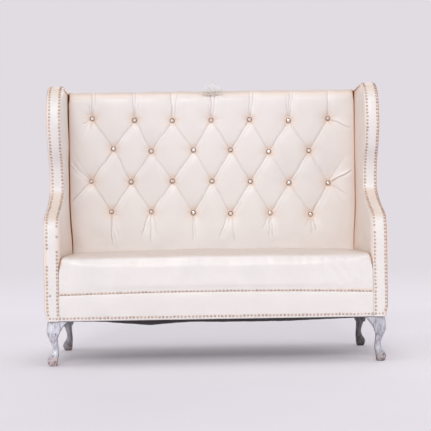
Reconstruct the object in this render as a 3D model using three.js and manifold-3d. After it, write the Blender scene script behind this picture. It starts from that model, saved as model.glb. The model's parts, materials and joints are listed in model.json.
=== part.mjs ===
// A high back settee: a timber frame with two wings, a diamond-tufted back with crystal buttons,
// a sprung bench seat, nail-trimmed leather covers, a pierced crest and four cabriole legs.
// Lengths are in millimetres: x to the right as seen from the front, y to the back, z up from the floor.
// In the pieces below y is counted from the front face of the arms, and the last group centres the settee.
import * as THREE from "three";
import { mergeVertices } from "three/addons/utils/BufferGeometryUtils.js";
import Module from "manifold-3d";

const wasm = await Module();
wasm.setup();

// Driving sizes of the whole settee
const overallWidth = 1500;
const overallDepth = 720;
const wingHeight = 1250;
const wingRearDrop = 10;
const backDrop = 12;
const legHeight = 196;
const gap = 0.3; // clearance between neighbouring pieces

// Side edge, seen from the side: the front of the arm, the sweep up to the waist, then the wing
const armFaceHeight = 540;
const waistDepth = 280;
const waistHeight = 775;
const wingReach = 105;
const armCurveShares = [[0, 0], [0.04, 0.3], [0.16, 0.47], [0.5, 0.62], [0.82, 0.8], [1, 1]];
const wingCurveShares = [
  [0.12, 0.2], [0.7, 0.39], [0.98, 0.56], [0.98, 0.68],
  [0.8, 0.83], [0.45, 0.93], [-0.1, 0.985], [-0.95, 1],
];
const sideEdgeSteps = 28;

// Thicknesses across the side of the settee
const sideCoverThickness = 17.7;
const sideCoverRounding = 8;
const sideBoardThickness = 32;
const innerPadThickness = 23.7;
const innerPadRounding = 7;
const innerPadNose = 3;
const frontPanelThickness = 8;
const frontPanelOverlap = 8;
const frontPanelSetback = 2;

// Thicknesses from the back face of the settee to the front of the tufted back
const outerBackThickness = 6.8;
const backPostDepth = 50;
const backPostWidth = 52;
const webbingThickness = 2;
const backFoamThickness = 50;
const backPadThickness = 50;
const backReturnThickness = 10;

// Seat frame
const frameLift = 4;
const seatRailHeight = 100;
const railThickness = 28;
const backRailSetback = 8;
const bandThickness = 11.7;
const armPostDepth = 64;
const armPostTenonInset = 22;
const braceWidth = 32;
const braceHeight = 60;
const cornerBlockLeg = 78;
const cornerBlockHeight = 50;

// Tenons that join the frame
const tenonThickness = 12;
const tenonLength = 20;
const shortTenonLength = 14;
const tenonShoulder = 15;
const tenonRoot = 4;

// Side frame boards
const armRailCover = 41; // from the side edge down to the arm rail's underside, at the arm post's tenon
const armRailThickness = 62;
const armRailStep = 80;
const wingBoardRearDepth = 350;
const wingTopRailHeight = 85;

// Back frame
const backTopRailHeight = 78;
const topShelfThickness = 28;
const backLowerRailBase = 470;
const backLowerRailHeight = 60;
const backCentrePostWidth = 44;
const webbingWidth = 50;
const webbingOverlap = 16;

// Seat
const seamHeight = 313;
const springWireThickness = 4;
const springCount = 7;
const springWaves = 9;
const springWidth = 52;
const springGapWidth = 128; // between two springs
const springTieInset = 200;
const springTieThickness = 2.6;
const deckThickness = 2;
const seatFoamThickness = 93;
const seatSkirtThickness = 16;
const seatCrownHeight = 484;
const seatEdgeThickness = 2;
const seatLineShares = [
  [0, 0], [0, 0.3], [0, 0.46], [0.015, 0.62], [0.055, 0.75],
  [0.14, 0.87], [0.3, 0.96], [0.5, 1], [0.78, 1], [1, 0.94],
];
const seatEndShares = [[0, 1], [0.55, 1], [0.8, 0.975], [0.92, 0.92], [0.975, 0.8], [1, 0.5]];

// Tufted back
const buttonPitch = 189;
const buttonRowPitch = 149;
const lowButtonClearance = 100;
const topButtonDrop = 130;
const buttonEdgeMargin = 100;
const pleatDepth = 22;
const buttonDent = 13;
const backTopRounding = 26;
const backSideRounding = 12;
const backPadBase = 320;
const tuftFadeHeight = 30;
const tuftSteps = 3;
const buttonRadius = 11;
const buttonRimHeight = 4;
const buttonHeight = 6.5;
const buttonCrownShare = 0.7;
const buttonSides = 6;
const twineRadius = 1.2;
const twineSides = 3;

// Nail trim
const nailRadius = 5.5;
const nailHeight = 3;
const nailPitch = 16;
const nailNeckHalfWidth = 1.2;
const nailNeckHeight = 0.8;
const nailClearance = 0.6;
const innerNailInset = 7;
const outerNailInset = 11;
const baseNailLift = 13;
const baseNailEndInset = 8;
const panelNailLift = 16;
const bandNailEndInset = 10;
const wingTopNailDepth = 430;

// Cabriole legs: each row is a height, then the outer and inner offsets from the corner, as shares
const legReach = 100;
const legSectionShares = [
  [0, 0.18, 0.52], [0.05, 0.13, 0.54], [0.12, 0.105, 0.555], [0.18, 0.14, 0.565],
  [0.27, 0.26, 0.585], [0.36, 0.31, 0.58], [0.46, 0.28, 0.56], [0.58, 0.19, 0.545],
  [0.69, 0.105, 0.56], [0.8, 0.08, 0.6], [1, 0.12, 0.66],
];
const legSides = 12;
const legRoundness = 2.8;
const legEarThickness = 24;
const legEarSetback = 9;
const legEarShares = [[0.5, 0.66], [0.57, 0.72], [0.61, 0.8], [0.7, 0.89], [0.83, 0.96], [0.98, 1], [0.5, 1]];
const legBlockSize = 70;
const legBoltRadius = 8;
const legBoltInset = 68;
const legBoltLength = 44;

// Dust cover
const dustThickness = 2;
const dustInset = 18;
const dustLegClearance = 104;
const dustSag = 12;
const dustPocketSag = 26;
const dustPocketX = -307;
const dustPocketWidth = 150;
const dustPocketDepth = 150;
const dustColumns = 14;
const dustRows = 6;

// Crest
const crestThickness = 6;
const crestDrop = 18;
const crestHalfWidth = 58;
const crestHeight = 79;
const crestBarShares = [0.08, 0.19];
const crestRingShares = [
  { x: 0.76, z: 0.2, outer: 0.165, inner: 0.07 },
  { x: 0.42, z: 0.33, outer: 0.215, inner: 0.1 },
];
const crestLeafShares = { z: 0.56, halfWidth: 0.19, halfHeight: 0.44, hole: 0.42 };
const crestSides = 12;
const crestBracketHalfWidth = 18;
const crestBracketThickness = 2;
const crestBracketRise = 24;
const crestBracketReach = 84;
const crestScrewDistance = 20;
const crestScrewRadius = 2.2;
const crestScrewHeadRadius = 4.5;
const crestScrewHeadHeight = 2.2;
const crestScrewLength = 34;
const crestScrewRearInset = 14;
const screwSides = 8;

// Places that follow from the sizes above, on the right-hand side
const halfWidth = overallWidth / 2;
const wingRearHeight = wingHeight - wingRearDrop;
const backHeight = wingHeight - backDrop;
const boardOuter = halfWidth - sideCoverThickness - gap;
const boardInner = boardOuter - sideBoardThickness;
const boardCentre = (boardInner + boardOuter) / 2;
const padOuter = boardInner - gap;
const padInner = padOuter - innerPadThickness;
const seatHalf = padInner - gap;
const panelInner = padInner + frontPanelOverlap;
const panelOuter = halfWidth - frontPanelSetback;
const bandHalf = panelInner - gap;
const backFrameRear = overallDepth - outerBackThickness - gap;
const backFrameFront = backFrameRear - backPostDepth;
const webbingRear = backFrameFront - gap;
const webbingFront = webbingRear - webbingThickness;
const backFoamRear = webbingFront - gap;
const backFoamFront = backFoamRear - backFoamThickness;
const backPadRear = backFoamFront - gap;
const backPadFront = backPadRear - backPadThickness;
const seatRear = backPadFront - gap;
const boardRear = backFrameFront - gap;
const boardFrontInset = frontPanelThickness + gap;
const postInner = boardOuter - backPostWidth;
const backReturnBase = backHeight - backReturnThickness;
const backFrameTop = backReturnBase - gap;
const frameBase = legHeight + frameLift;
const railTop = frameBase + seatRailHeight;
const railFront = bandThickness + gap;
const railRear = railFront + railThickness;
const railCentre = (railFront + railRear) / 2;
const armPostRear = boardFrontInset + armPostDepth;
const wingTopRailBase = wingHeight - wingTopRailHeight;
const backRailFront = backFrameFront + backRailSetback;
const backRailRear = backRailFront + railThickness;
const backRailCentre = (backRailFront + backRailRear) / 2;
const acrossPosts = [gap - postInner, postInner - gap];
const backLowerRailTop = backLowerRailBase + backLowerRailHeight;
const backTopRailBase = backFrameTop - backTopRailHeight;
const backFoamTop = backFrameTop - topShelfThickness - gap;
const springBase = railTop + gap;
const deckBase = springBase + springWireThickness + gap;
const seatFoamBase = deckBase + deckThickness + gap;
const seatFoamTop = seatFoamBase + seatFoamThickness;
const seatPadBase = seatFoamTop + gap;
const topButtonHeight = backHeight - topButtonDrop;
const buttonSpan = topButtonHeight - seatCrownHeight - lowButtonClearance;
const buttonRowCount = Math.floor(buttonSpan / buttonRowPitch) + 1;
const crestBase = backHeight - crestDrop;

// Finishes
const leather = new THREE.MeshStandardMaterial({ color: "#efe6dc", roughness: 0.35 });
const timber = new THREE.MeshStandardMaterial({ color: "#c39a6b", roughness: 0.7 });
const foam = new THREE.MeshStandardMaterial({ color: "#e9dfae", roughness: 0.95 });
const webbing = new THREE.MeshStandardMaterial({ color: "#6b6259", roughness: 0.9 });
const springSteel = new THREE.MeshStandardMaterial({ color: "#70747a", roughness: 0.4, metalness: 1 });
const nailMetal = new THREE.MeshStandardMaterial({ color: "#8d8781", roughness: 0.3, metalness: 1 });
const crystal = new THREE.MeshStandardMaterial({ color: "#d8d6d2", roughness: 0.1, metalness: 0.4 });
const legPaint = new THREE.MeshStandardMaterial({ color: "#a9adb6", roughness: 0.45, metalness: 0.3 });
const blackCloth = new THREE.MeshStandardMaterial({ color: "#2a2528", roughness: 0.95 });
const silver = new THREE.MeshStandardMaterial({ color: "#b9bab8", roughness: 0.35, metalness: 0.8 });

// Turns a closed geometry into a solid that can be joined and cut.
function solidOf(geometry) {
  const bare = geometry.clone();
  bare.deleteAttribute("normal");
  bare.deleteAttribute("uv");
  const merged = mergeVertices(bare);
  return new wasm.Manifold(new wasm.Mesh({
    numProp: 3,
    vertProperties: merged.getAttribute("position").array,
    triVerts: new Uint32Array(merged.index.array),
  }));
}

// Turns a solid back into a geometry.
function geometryOf(solid) {
  const mesh = solid.getMesh();
  const geometry = new THREE.BufferGeometry();
  const places = new Float32Array(mesh.vertProperties);
  geometry.setAttribute("position", new THREE.BufferAttribute(places, mesh.numProp));
  geometry.setIndex(new THREE.BufferAttribute(new Uint32Array(mesh.triVerts), 1));
  return geometry;
}

// A geometry from points and faces, turned so that its faces point out.
function closedGeometry(points, faces) {
  const volume = faces.reduce((sum, [a, b, c]) => {
    const cross = new THREE.Vector3().crossVectors(points[b], points[c]);
    return sum + points[a].dot(cross);
  }, 0);
  const turned = volume < 0 ? faces.map(([a, b, c]) => [a, c, b]) : faces;
  const geometry = new THREE.BufferGeometry();
  geometry.setAttribute("position", new THREE.Float32BufferAttribute(points.flatMap((p) => p.toArray()), 3));
  geometry.setIndex(turned.flat());
  return geometry;
}

// The triangles that fill a flat outline, all turned as the outline is.
function filled(outline) {
  const area = THREE.ShapeUtils.area(outline);
  return THREE.ShapeUtils.triangulateShape(outline, []).map(([a, b, c]) => {
    const triangle = THREE.ShapeUtils.area([outline[a], outline[b], outline[c]]);
    return triangle * area > 0 ? [a, b, c] : [a, c, b];
  });
}

// A closed skin over rings of points; flatten gives a ring's points in its own plane.
function loft(rings, flatten) {
  const count = rings[0].length;
  const faces = [];
  for (let ring = 0; ring < rings.length - 1; ring++) {
    for (let i = 0; i < count; i++) {
      const near = ring * count + i;
      const next = ring * count + ((i + 1) % count);
      faces.push([near, next, next + count], [near, next + count, near + count]);
    }
  }
  filled(rings[0].map(flatten)).forEach(([a, b, c]) => faces.push([a, c, b]));
  const last = (rings.length - 1) * count;
  filled(rings.at(-1).map(flatten)).forEach(([a, b, c]) => faces.push([last + a, last + b, last + c]));
  return closedGeometry(rings.flat(), faces);
}

// A box between three pairs of places.
function block([x0, x1], [y0, y1], [z0, z1]) {
  const geometry = new THREE.BoxGeometry(x1 - x0, y1 - y0, z1 - z0);
  geometry.translate((x0 + x1) / 2, (y0 + y1) / 2, (z0 + z1) / 2);
  return solidOf(geometry);
}

// The three pairs of places of a box, with clearance added all round.
function grown(ranges, by = gap) {
  return ranges.map(([low, high]) => [low - by, high + by]);
}

// The same box on the other side of the settee.
function otherSide([[x0, x1], y, z]) {
  return [[-x1, -x0], y, z];
}

// An outline in the side view, drawn in y and z, pushed out along x.
const sideView = new THREE.Matrix4().makeBasis(
  new THREE.Vector3(0, 1, 0), new THREE.Vector3(0, 0, 1), new THREE.Vector3(1, 0, 0),
);
function plate(outline, x0, x1) {
  const geometry = new THREE.ExtrudeGeometry(new THREE.Shape(outline), { depth: x1 - x0, bevelEnabled: false });
  geometry.applyMatrix4(sideView);
  geometry.translate(x0, 0, 0);
  return solidOf(geometry);
}

// The same, with one rounded face: at x0 if inward is true, otherwise at x1.
function roundedPlate(outline, x0, x1, rounding, inward) {
  const geometry = new THREE.ExtrudeGeometry(new THREE.Shape(outline), {
    depth: x1 - x0, bevelThickness: rounding, bevelSize: rounding, bevelOffset: -rounding, bevelSegments: 2,
  });
  geometry.applyMatrix4(sideView);
  geometry.translate(inward ? x0 + rounding : x0 - rounding, 0, 0);
  const keep = block([x0 - gap, x1], [-overallDepth, 2 * overallDepth], [-wingHeight, 2 * wingHeight]);
  const keepOuter = block([x0, x1 + gap], [-overallDepth, 2 * overallDepth], [-wingHeight, 2 * wingHeight]);
  return solidOf(geometry).intersect(inward ? keep : keepOuter);
}

// The curved part of the side edge, from the front face of the arm to the top of the wing.
const armCurve = armCurveShares.map(([depth, rise]) =>
  new THREE.Vector2(depth * waistDepth, armFaceHeight + rise * (waistHeight - armFaceHeight)));
const wingCurve = wingCurveShares.map(([reach, rise]) =>
  new THREE.Vector2(waistDepth - reach * wingReach, waistHeight + rise * (wingHeight - waistHeight)));
const sideCurve = new THREE.SplineCurve([...armCurve, ...wingCurve]).getPoints(sideEdgeSteps);

// Heights of the arm rail, which lies under the side edge as that edge is where the arm post's tenon begins.
const armPostTenonFront = boardFrontInset + armPostTenonInset;
const pastTenonFront = sideCurve.findIndex((point) => point.x > armPostTenonFront);
const [edgeBefore, edgeAfter] = sideCurve.slice(pastTenonFront - 1, pastTenonFront + 1);
const edgeShare = (armPostTenonFront - edgeBefore.x) / (edgeAfter.x - edgeBefore.x);
const armRailBase = edgeBefore.y + edgeShare * (edgeAfter.y - edgeBefore.y) - armRailCover;
const armRailTop = armRailBase + armRailThickness;
const armRailShoulderHeight = armRailTop + armRailStep;

// The side edge moved in by an inset, from a base height to a rear depth, as points in y and z.
function sideEdge(inset, base, rear) {
  const fall = (overallDepth - rear) / (overallDepth - sideCurve.at(-1).x);
  const rearHeight = wingRearHeight + fall * (wingHeight - wingRearHeight);
  const line = [new THREE.Vector2(0, base), ...sideCurve, new THREE.Vector2(rear, rearHeight)];
  return line.map((point, i) => {
    const before = line[Math.max(i - 1, 0)];
    const after = line[Math.min(i + 1, line.length - 1)];
    const along = after.clone().sub(before).normalize();
    if (i === line.length - 1) return new THREE.Vector2(rear, point.y - inset);
    return new THREE.Vector2(point.x + along.y * inset, point.y - along.x * inset);
  });
}

// The area inside the side edge, closed along its base and rear.
function sideOutline(inset, base, rear) {
  return [...sideEdge(inset, base, rear), new THREE.Vector2(rear, base)];
}

const root = new THREE.Group();
const settee = new THREE.Group();
settee.position.y = -(overallDepth - nailClearance - nailHeight) / 2;
root.add(settee);

function piece(name, geometry, material) {
  const mesh = new THREE.Mesh(geometry, material);
  mesh.name = name;
  settee.add(mesh);
}

// A mirror image of a geometry across x or y, with its faces turned back to point out.
function mirrored(geometry, scaleX, scaleY) {
  const image = geometry.clone();
  image.scale(scaleX, scaleY, 1);
  const corners = image.index.array;
  for (let i = 0; i < corners.length; i += 3) {
    [corners[i + 1], corners[i + 2]] = [corners[i + 2], corners[i + 1]];
  }
  return image;
}

// A piece and its mirror image: the solid given is the right-hand one, as seen from the front.
function pair(name, solid, material) {
  const geometry = geometryOf(solid);
  piece(`${name}_right`, geometry, material);
  piece(`${name}_left`, mirrored(geometry, -1, 1), material);
}

// A solid joined with others, and a solid with others cut away.
function withAll(solid, others) {
  return others.reduce((made, other) => made.add(other), solid);
}
function withoutAll(solid, others) {
  return others.reduce((made, other) => made.subtract(other), solid);
}

// A band of the tenons' thickness about a place.
function thick(centre) {
  return [centre - tenonThickness / 2, centre + tenonThickness / 2];
}

// Tenons: each is a box that stands out of one piece into a mortise in the next.
const railTenonHeights = [frameBase + tenonShoulder, railTop - tenonShoulder];
const boardTenon = thick(boardCentre);
const backRailTenonAcross = [postInner - tenonRoot, postInner + tenonLength];
const backRailTenon = thick(backRailCentre);
const tenons = {
  frontRail: [[padOuter - tenonRoot, padOuter + tenonLength], thick(railCentre), railTenonHeights],
  sideRailFront: [boardTenon, [armPostRear - tenonLength, armPostRear + tenonRoot], railTenonHeights],
  sideRailRear: [boardTenon, [boardRear - tenonRoot, boardRear + tenonLength], railTenonHeights],
  backRail: [backRailTenonAcross, backRailTenon, railTenonHeights],
  armPost: [
    boardTenon,
    [armPostTenonFront, armPostRear - tenonShoulder],
    [armRailBase - tenonRoot, armRailBase + tenonLength],
  ],
  armRail: [
    boardTenon,
    [boardRear - tenonRoot, boardRear + tenonLength],
    [armRailBase + tenonShoulder, armRailTop - tenonShoulder],
  ],
  wingBoardFoot: [
    boardTenon,
    [waistDepth + tenonShoulder, wingBoardRearDepth - tenonShoulder],
    [armRailShoulderHeight - tenonLength, armRailShoulderHeight + tenonRoot],
  ],
  wingBoardHead: [
    boardTenon,
    [waistDepth - tenonShoulder, wingBoardRearDepth - tenonShoulder],
    [wingTopRailBase - tenonRoot, wingTopRailBase + tenonLength],
  ],
  wingTopRail: [
    boardTenon,
    [boardRear - tenonRoot, boardRear + tenonLength],
    [wingTopRailBase + tenonShoulder, backFrameTop - tenonShoulder],
  ],
  backTopRail: [
    backRailTenonAcross, backRailTenon, [backTopRailBase + tenonShoulder, backFrameTop - tenonShoulder],
  ],
  backLowerRail: [
    backRailTenonAcross, backRailTenon, [backLowerRailBase + tenonShoulder, backLowerRailTop - tenonShoulder],
  ],
};

// A solid with some of the tenons, with room for some, and with one tenon at each end.
function tenoned(solid, ...names) {
  return withAll(solid, names.map((name) => block(...tenons[name])));
}
function mortised(solid, ...names) {
  return withoutAll(solid, names.map((name) => block(...grown(tenons[name]))));
}
function tenonedBothEnds(solid, name) {
  return tenoned(solid, name).add(block(...otherSide(tenons[name])));
}

// Side frames: boards cut from one outline that follows the side edge.
function buildSideFrames() {
  const wholeDepth = [-overallDepth, 2 * overallDepth];
  const side = plate(sideOutline(boardFrontInset, frameBase, boardRear), boardInner, boardOuter);
  const cut = (y, z) => side.intersect(block([0, overallWidth], y, z));

  const armPost = mortised(cut([0, armPostRear], [0, armRailBase - gap]), "frontRail", "sideRailFront");
  pair("arm_post", tenoned(armPost, "armPost"), timber);
  const sideRail = cut([armPostRear + gap, boardRear], [0, railTop]);
  pair("side_seat_rail", tenoned(sideRail, "sideRailFront", "sideRailRear"), timber);
  const armRailLow = cut(wholeDepth, [armRailBase, armRailTop]);
  const armRailHigh = cut([0, wingBoardRearDepth], [armRailBase, armRailShoulderHeight]);
  const armRail = mortised(armRailLow.add(armRailHigh), "armPost", "wingBoardFoot");
  pair("arm_rail", tenoned(armRail, "armRail"), timber);
  const wingBoard = cut([0, wingBoardRearDepth], [armRailShoulderHeight + gap, wingTopRailBase - gap]);
  pair("wing_board", tenoned(wingBoard, "wingBoardFoot", "wingBoardHead"), timber);
  const wingTop = mortised(cut(wholeDepth, [wingTopRailBase, 2 * wingHeight]), "wingBoardHead");
  pair("wing_top_rail", tenoned(wingTop, "wingTopRail"), timber);
}

// The seat frame: a front rail between the arm posts, a back rail between the back posts, and a centre brace.
function buildSeatFrame() {
  const braceTenon = (y) => [thick(0), y, [frameBase + tenonShoulder, frameBase + braceHeight - tenonShoulder]];
  const braceFront = braceTenon([railRear - shortTenonLength, railRear + tenonRoot]);
  const braceRear = braceTenon([backRailFront - tenonRoot, backRailFront + shortTenonLength]);

  const frontRail = block([-padOuter, padOuter], [railFront, railRear], [frameBase, railTop]);
  const frontRailCut = tenonedBothEnds(frontRail, "frontRail").subtract(block(...grown(braceFront)));
  piece("front_seat_rail", geometryOf(frontRailCut), timber);
  const backRail = block(acrossPosts, [backRailFront, backRailRear], [frameBase, railTop]);
  const backRailCut = tenonedBothEnds(backRail, "backRail").subtract(block(...grown(braceRear)));
  piece("back_seat_rail", geometryOf(backRailCut), timber);
  const braceDepth = [railRear + gap, backRailFront - gap];
  const brace = block([-braceWidth / 2, braceWidth / 2], braceDepth, [frameBase, frameBase + braceHeight]);
  piece("centre_seat_brace", geometryOf(withAll(brace, [block(...braceFront), block(...braceRear)])), timber);
}

// The back frame: two posts, a lower rail, a centre post, and a top rail whose shelf takes the crest's screws.
function buildBackFrame() {
  const post = block([postInner, boardOuter], [backFrameFront, backFrameRear], [frameBase, backFrameTop]);
  const postTenons = ["sideRailRear", "backRail", "armRail", "wingTopRail", "backTopRail", "backLowerRail"];
  pair("back_post", mortised(post, ...postTenons), timber);

  const railDepth = [backRailFront, backRailRear];
  const footHeights = [backLowerRailTop - shortTenonLength, backLowerRailTop + tenonRoot];
  const centreFoot = [thick(0), backRailTenon, footHeights];
  const headHeights = [backTopRailBase - tenonRoot, backTopRailBase + shortTenonLength];
  const centreHead = [thick(0), backRailTenon, headHeights];
  const topRail = block(acrossPosts, railDepth, [backTopRailBase, backFrameTop]);
  const shelfHeights = [backFrameTop - topShelfThickness, backFrameTop];
  const shelf = block([-seatHalf, seatHalf], [backFoamFront, backRailRear], shelfHeights);
  const topRailWhole = tenonedBothEnds(topRail, "backTopRail").add(shelf);
  const topRailCut = withoutAll(topRailWhole, [block(...grown(centreHead)), ...crestScrewHoles()]);
  piece("back_top_rail", geometryOf(topRailCut), timber);
  const lowerRail = block(acrossPosts, railDepth, [backLowerRailBase, backLowerRailTop]);
  const lowerRailCut = tenonedBothEnds(lowerRail, "backLowerRail").subtract(block(...grown(centreFoot)));
  piece("back_lower_rail", geometryOf(lowerRailCut), timber);
  const postAcross = [-backCentrePostWidth / 2, backCentrePostWidth / 2];
  const centrePost = block(postAcross, railDepth, [backLowerRailTop + gap, backTopRailBase - gap]);
  const centrePostWhole = withAll(centrePost, [block(...centreFoot), block(...centreHead)]);
  piece("back_centre_post", geometryOf(centrePostWhole), timber);
}

// Corner blocks: a triangular block in each corner, clear of the back post and bored for the leg bolt.
function buildCornerBlocks() {
  const cornerBlock = (name, cornerY, inward, boltY) => {
    const outline = [
      new THREE.Vector2(padOuter, cornerY),
      new THREE.Vector2(padOuter, cornerY + inward * cornerBlockLeg),
      new THREE.Vector2(padOuter - cornerBlockLeg, cornerY),
    ];
    const options = { depth: cornerBlockHeight, bevelEnabled: false };
    const geometry = new THREE.ExtrudeGeometry(new THREE.Shape(outline), options);
    geometry.translate(0, 0, frameBase);
    const postRoom = [[postInner, boardOuter], [backFrameFront, backFrameRear], [0, 2 * wingHeight]];
    const cuts = [block(...grown(postRoom)), legBolt(boltY, legBoltRadius + gap)];
    pair(name, withoutAll(solidOf(geometry), cuts), timber);
  };
  cornerBlock("front_corner_block", railRear + gap, 1, legBoltInset);
  cornerBlock("back_corner_block", backRailFront - gap, -1, overallDepth - legBoltInset);
}

// The bolt that stands out of a leg's top, as a solid of any radius.
function legBolt(y, radius) {
  const geometry = new THREE.CylinderGeometry(radius, radius, legBoltLength + frameLift, screwSides);
  geometry.rotateX(Math.PI / 2);
  geometry.translate(halfWidth - legBoltInset, y, legHeight + (legBoltLength + frameLift) / 2);
  return solidOf(geometry);
}

// Zigzag springs from rail to rail, held together by two tie wires, then the deck and the foam.
function buildSeatSupport() {
  const half = springWireThickness / 2;
  const level = springBase + half;
  const front = railCentre;
  const rear = backRailCentre;
  const spring = (centre) => {
    const corners = Array.from({ length: 2 * (springWaves + 1) }, (_, i) => {
      const side = Math.floor((i + 1) / 2) % 2 ? 1 : -1;
      const wave = Math.floor(i / 2);
      const y = front + (wave * (rear - front)) / springWaves;
      return new THREE.Vector2(centre + (side * springWidth) / 2, y);
    });
    const turned = (from, to) => {
      const along = to.clone().sub(from).normalize();
      return new THREE.Vector2(-along.y, along.x);
    };
    const rings = corners.map((corner, i) => {
      const before = i > 0 ? turned(corners[i - 1], corner) : new THREE.Vector2();
      const after = i < corners.length - 1 ? turned(corner, corners[i + 1]) : new THREE.Vector2();
      const mitre = before.add(after).multiplyScalar(half);
      return [[-1, -1], [1, -1], [1, 1], [-1, 1]].map(([across, up]) => {
        const side = corner.clone().addScaledVector(mitre, across);
        return new THREE.Vector3(side.x, side.y, level + up * half);
      });
    });
    return solidOf(loft(rings, (p) => new THREE.Vector2(p.y, p.z)));
  };
  const distance = springWidth + springGapWidth;
  const first = -((springCount - 1) * distance) / 2;
  const springs = Array.from({ length: springCount }, (_, i) => spring(first + i * distance));
  const tieReach = -first + springWidth / 2;
  const tieHalf = springTieThickness / 2;
  const ties = [front + springTieInset, rear - springTieInset].map((y) =>
    block([-tieReach, tieReach], [y - tieHalf, y + tieHalf], [level - tieHalf, level + tieHalf]));
  piece("seat_spring_unit", geometryOf(withAll(springs[0], [...springs.slice(1), ...ties])), springSteel);

  const deck = block([-padOuter, padOuter], [railFront + gap, boardRear], [deckBase, deckBase + deckThickness]);
  piece("seat_deck", geometryOf(deck), webbing);
  const slab = block([-seatHalf, seatHalf], [seatSkirtThickness + gap, seatRear], [seatFoamBase, seatFoamTop]);
  piece("seat_foam", geometryOf(slab), foam);
}

// The seat cover with its wadding: a crowned top and a skirt pulled down over the front to the nail seam.
function buildSeatCover() {
  const stations = [...seatEndShares.slice(1).reverse().map(([x, rise]) => [-x, rise]), ...seatEndShares];
  const rings = stations.map(([xShare, endShare]) => {
    const top = seatLineShares.map(([depth, rise]) => {
      const height = seamHeight + gap + rise * (seatCrownHeight - seamHeight - gap);
      const floor = seatPadBase + seatEdgeThickness;
      return [depth * seatRear, height > floor ? floor + (height - floor) * endShare : height];
    });
    const innerCorner = [seatSkirtThickness, seatPadBase];
    const under = [[seatRear, seatPadBase], innerCorner, [seatSkirtThickness, seamHeight + gap]];
    return [...top, ...under].map(([y, z]) => new THREE.Vector3(xShare * seatHalf, y, z));
  });
  piece("seat_cover", loft(rings, (p) => new THREE.Vector2(p.y, p.z)), leather);
  const band = block([-bandHalf, bandHalf], [0, bandThickness], [legHeight, seamHeight]);
  piece("front_band", geometryOf(band), leather);
}

// Where the buttons are: each row's height and the places across it.
function buttonRows() {
  const reach = seatHalf - buttonEdgeMargin;
  return Array.from({ length: buttonRowCount }, (_, row) => {
    const shift = row % 2 ? buttonPitch / 2 : 0;
    const most = Math.floor((reach - shift) / buttonPitch);
    const count = row % 2 ? 2 * most + 2 : 2 * most + 1;
    const xs = Array.from({ length: count }, (_, i) => (i - (count - 1) / 2) * buttonPitch);
    return { z: topButtonHeight - row * buttonRowPitch, xs };
  });
}

// How far back the tufted surface lies at a place on the back: pillows between pleats, dented at buttons.
function tuftedSurface(x, z) {
  const lowButtonHeight = topButtonHeight - (buttonRowCount - 1) * buttonRowPitch;
  const level = Math.min(Math.max(z, lowButtonHeight), topButtonHeight);
  const across = x / buttonPitch;
  const down = (topButtonHeight - level) / (2 * buttonRowPitch);
  const pillow = Math.sqrt(Math.abs(Math.sin(Math.PI * (across + down)) * Math.sin(Math.PI * (across - down))));
  const fade = THREE.MathUtils.smoothstep(z, seatCrownHeight, seatCrownHeight + tuftFadeHeight);
  const buttonRow = buttonRows().find((row) => Math.abs(z - row.z) < gap);
  const atButton = buttonRow && buttonRow.xs.some((button) => Math.abs(x - button) < gap);
  const dent = atButton ? buttonDent : 0;
  const top = 1 - Math.min((backHeight - z) / backTopRounding, 1);
  const side = 1 - Math.min((seatHalf - Math.abs(x)) / backSideRounding, 1);
  const rounding = backTopRounding * (1 - Math.sqrt(1 - top * top)) + backSideRounding * side * fade;
  return backPadFront + (pleatDepth * (1 - pillow) + dent) * fade + rounding;
}

// The tufted pad: a grid that follows the diamonds, closed by a flat rear face.
function tuftedPad() {
  const stepX = buttonPitch / (2 * tuftSteps);
  const stepZ = buttonRowPitch / tuftSteps;
  const columns = Math.floor((seatHalf - 2 * backSideRounding) / stepX);
  const xs = [-seatHalf, ...Array.from({ length: 2 * columns + 1 }, (_, i) => (i - columns) * stepX), seatHalf];
  const rowsDown = Math.floor((topButtonHeight - seatCrownHeight) / stepZ);
  const rows = Array.from({ length: rowsDown + 1 }, (_, i) => topButtonHeight - (rowsDown - i) * stepZ);
  const upper = [topButtonHeight + stepZ, backHeight - backTopRounding, backHeight];
  const zs = [backPadBase, ...rows.filter((z) => z > seatCrownHeight + gap), ...upper];
  const points = zs.flatMap((z) => xs.map((x) => new THREE.Vector3(x, tuftedSurface(x, z), z)));
  const at = (i, j) => j * xs.length + i;
  const faces = [];
  for (let j = 0; j < zs.length - 1; j++) {
    for (let i = 0; i < xs.length - 1; i++) {
      const [a, b, c, d] = [at(i, j), at(i + 1, j), at(i + 1, j + 1), at(i, j + 1)];
      const rising = points[a].y + points[c].y > points[b].y + points[d].y;
      faces.push(...(rising ? [[a, b, c], [a, c, d]] : [[a, b, d], [b, c, d]]));
    }
  }
  const [lastX, lastZ] = [xs.length - 1, zs.length - 1];
  const rim = [
    ...xs.map((_, i) => at(i, 0)),
    ...zs.slice(1).map((_, j) => at(lastX, j + 1)),
    ...xs.slice(1).map((_, i) => at(lastX - 1 - i, lastZ)),
    ...zs.slice(2).map((_, j) => at(0, lastZ - 1 - j)),
  ];
  const start = points.length;
  rim.forEach((i) => points.push(new THREE.Vector3(points[i].x, backPadRear, points[i].z)));
  const middle = points.length;
  points.push(new THREE.Vector3(0, backPadRear, (backPadBase + backHeight) / 2));
  rim.forEach((low, i) => {
    const next = (i + 1) % rim.length;
    const wall = [[low, start + i, rim[next]], [rim[next], start + i, start + next]];
    faces.push(...wall, [start + i, middle, start + next]);
  });
  return solidOf(closedGeometry(points, faces));
}

// A button's twine between two depths, as a solid of any radius.
function twine(x, z, y0, y1, radius) {
  const geometry = new THREE.CylinderGeometry(radius, radius, y1 - y0, twineSides);
  geometry.translate(x, (y0 + y1) / 2, z);
  return solidOf(geometry);
}

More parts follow.
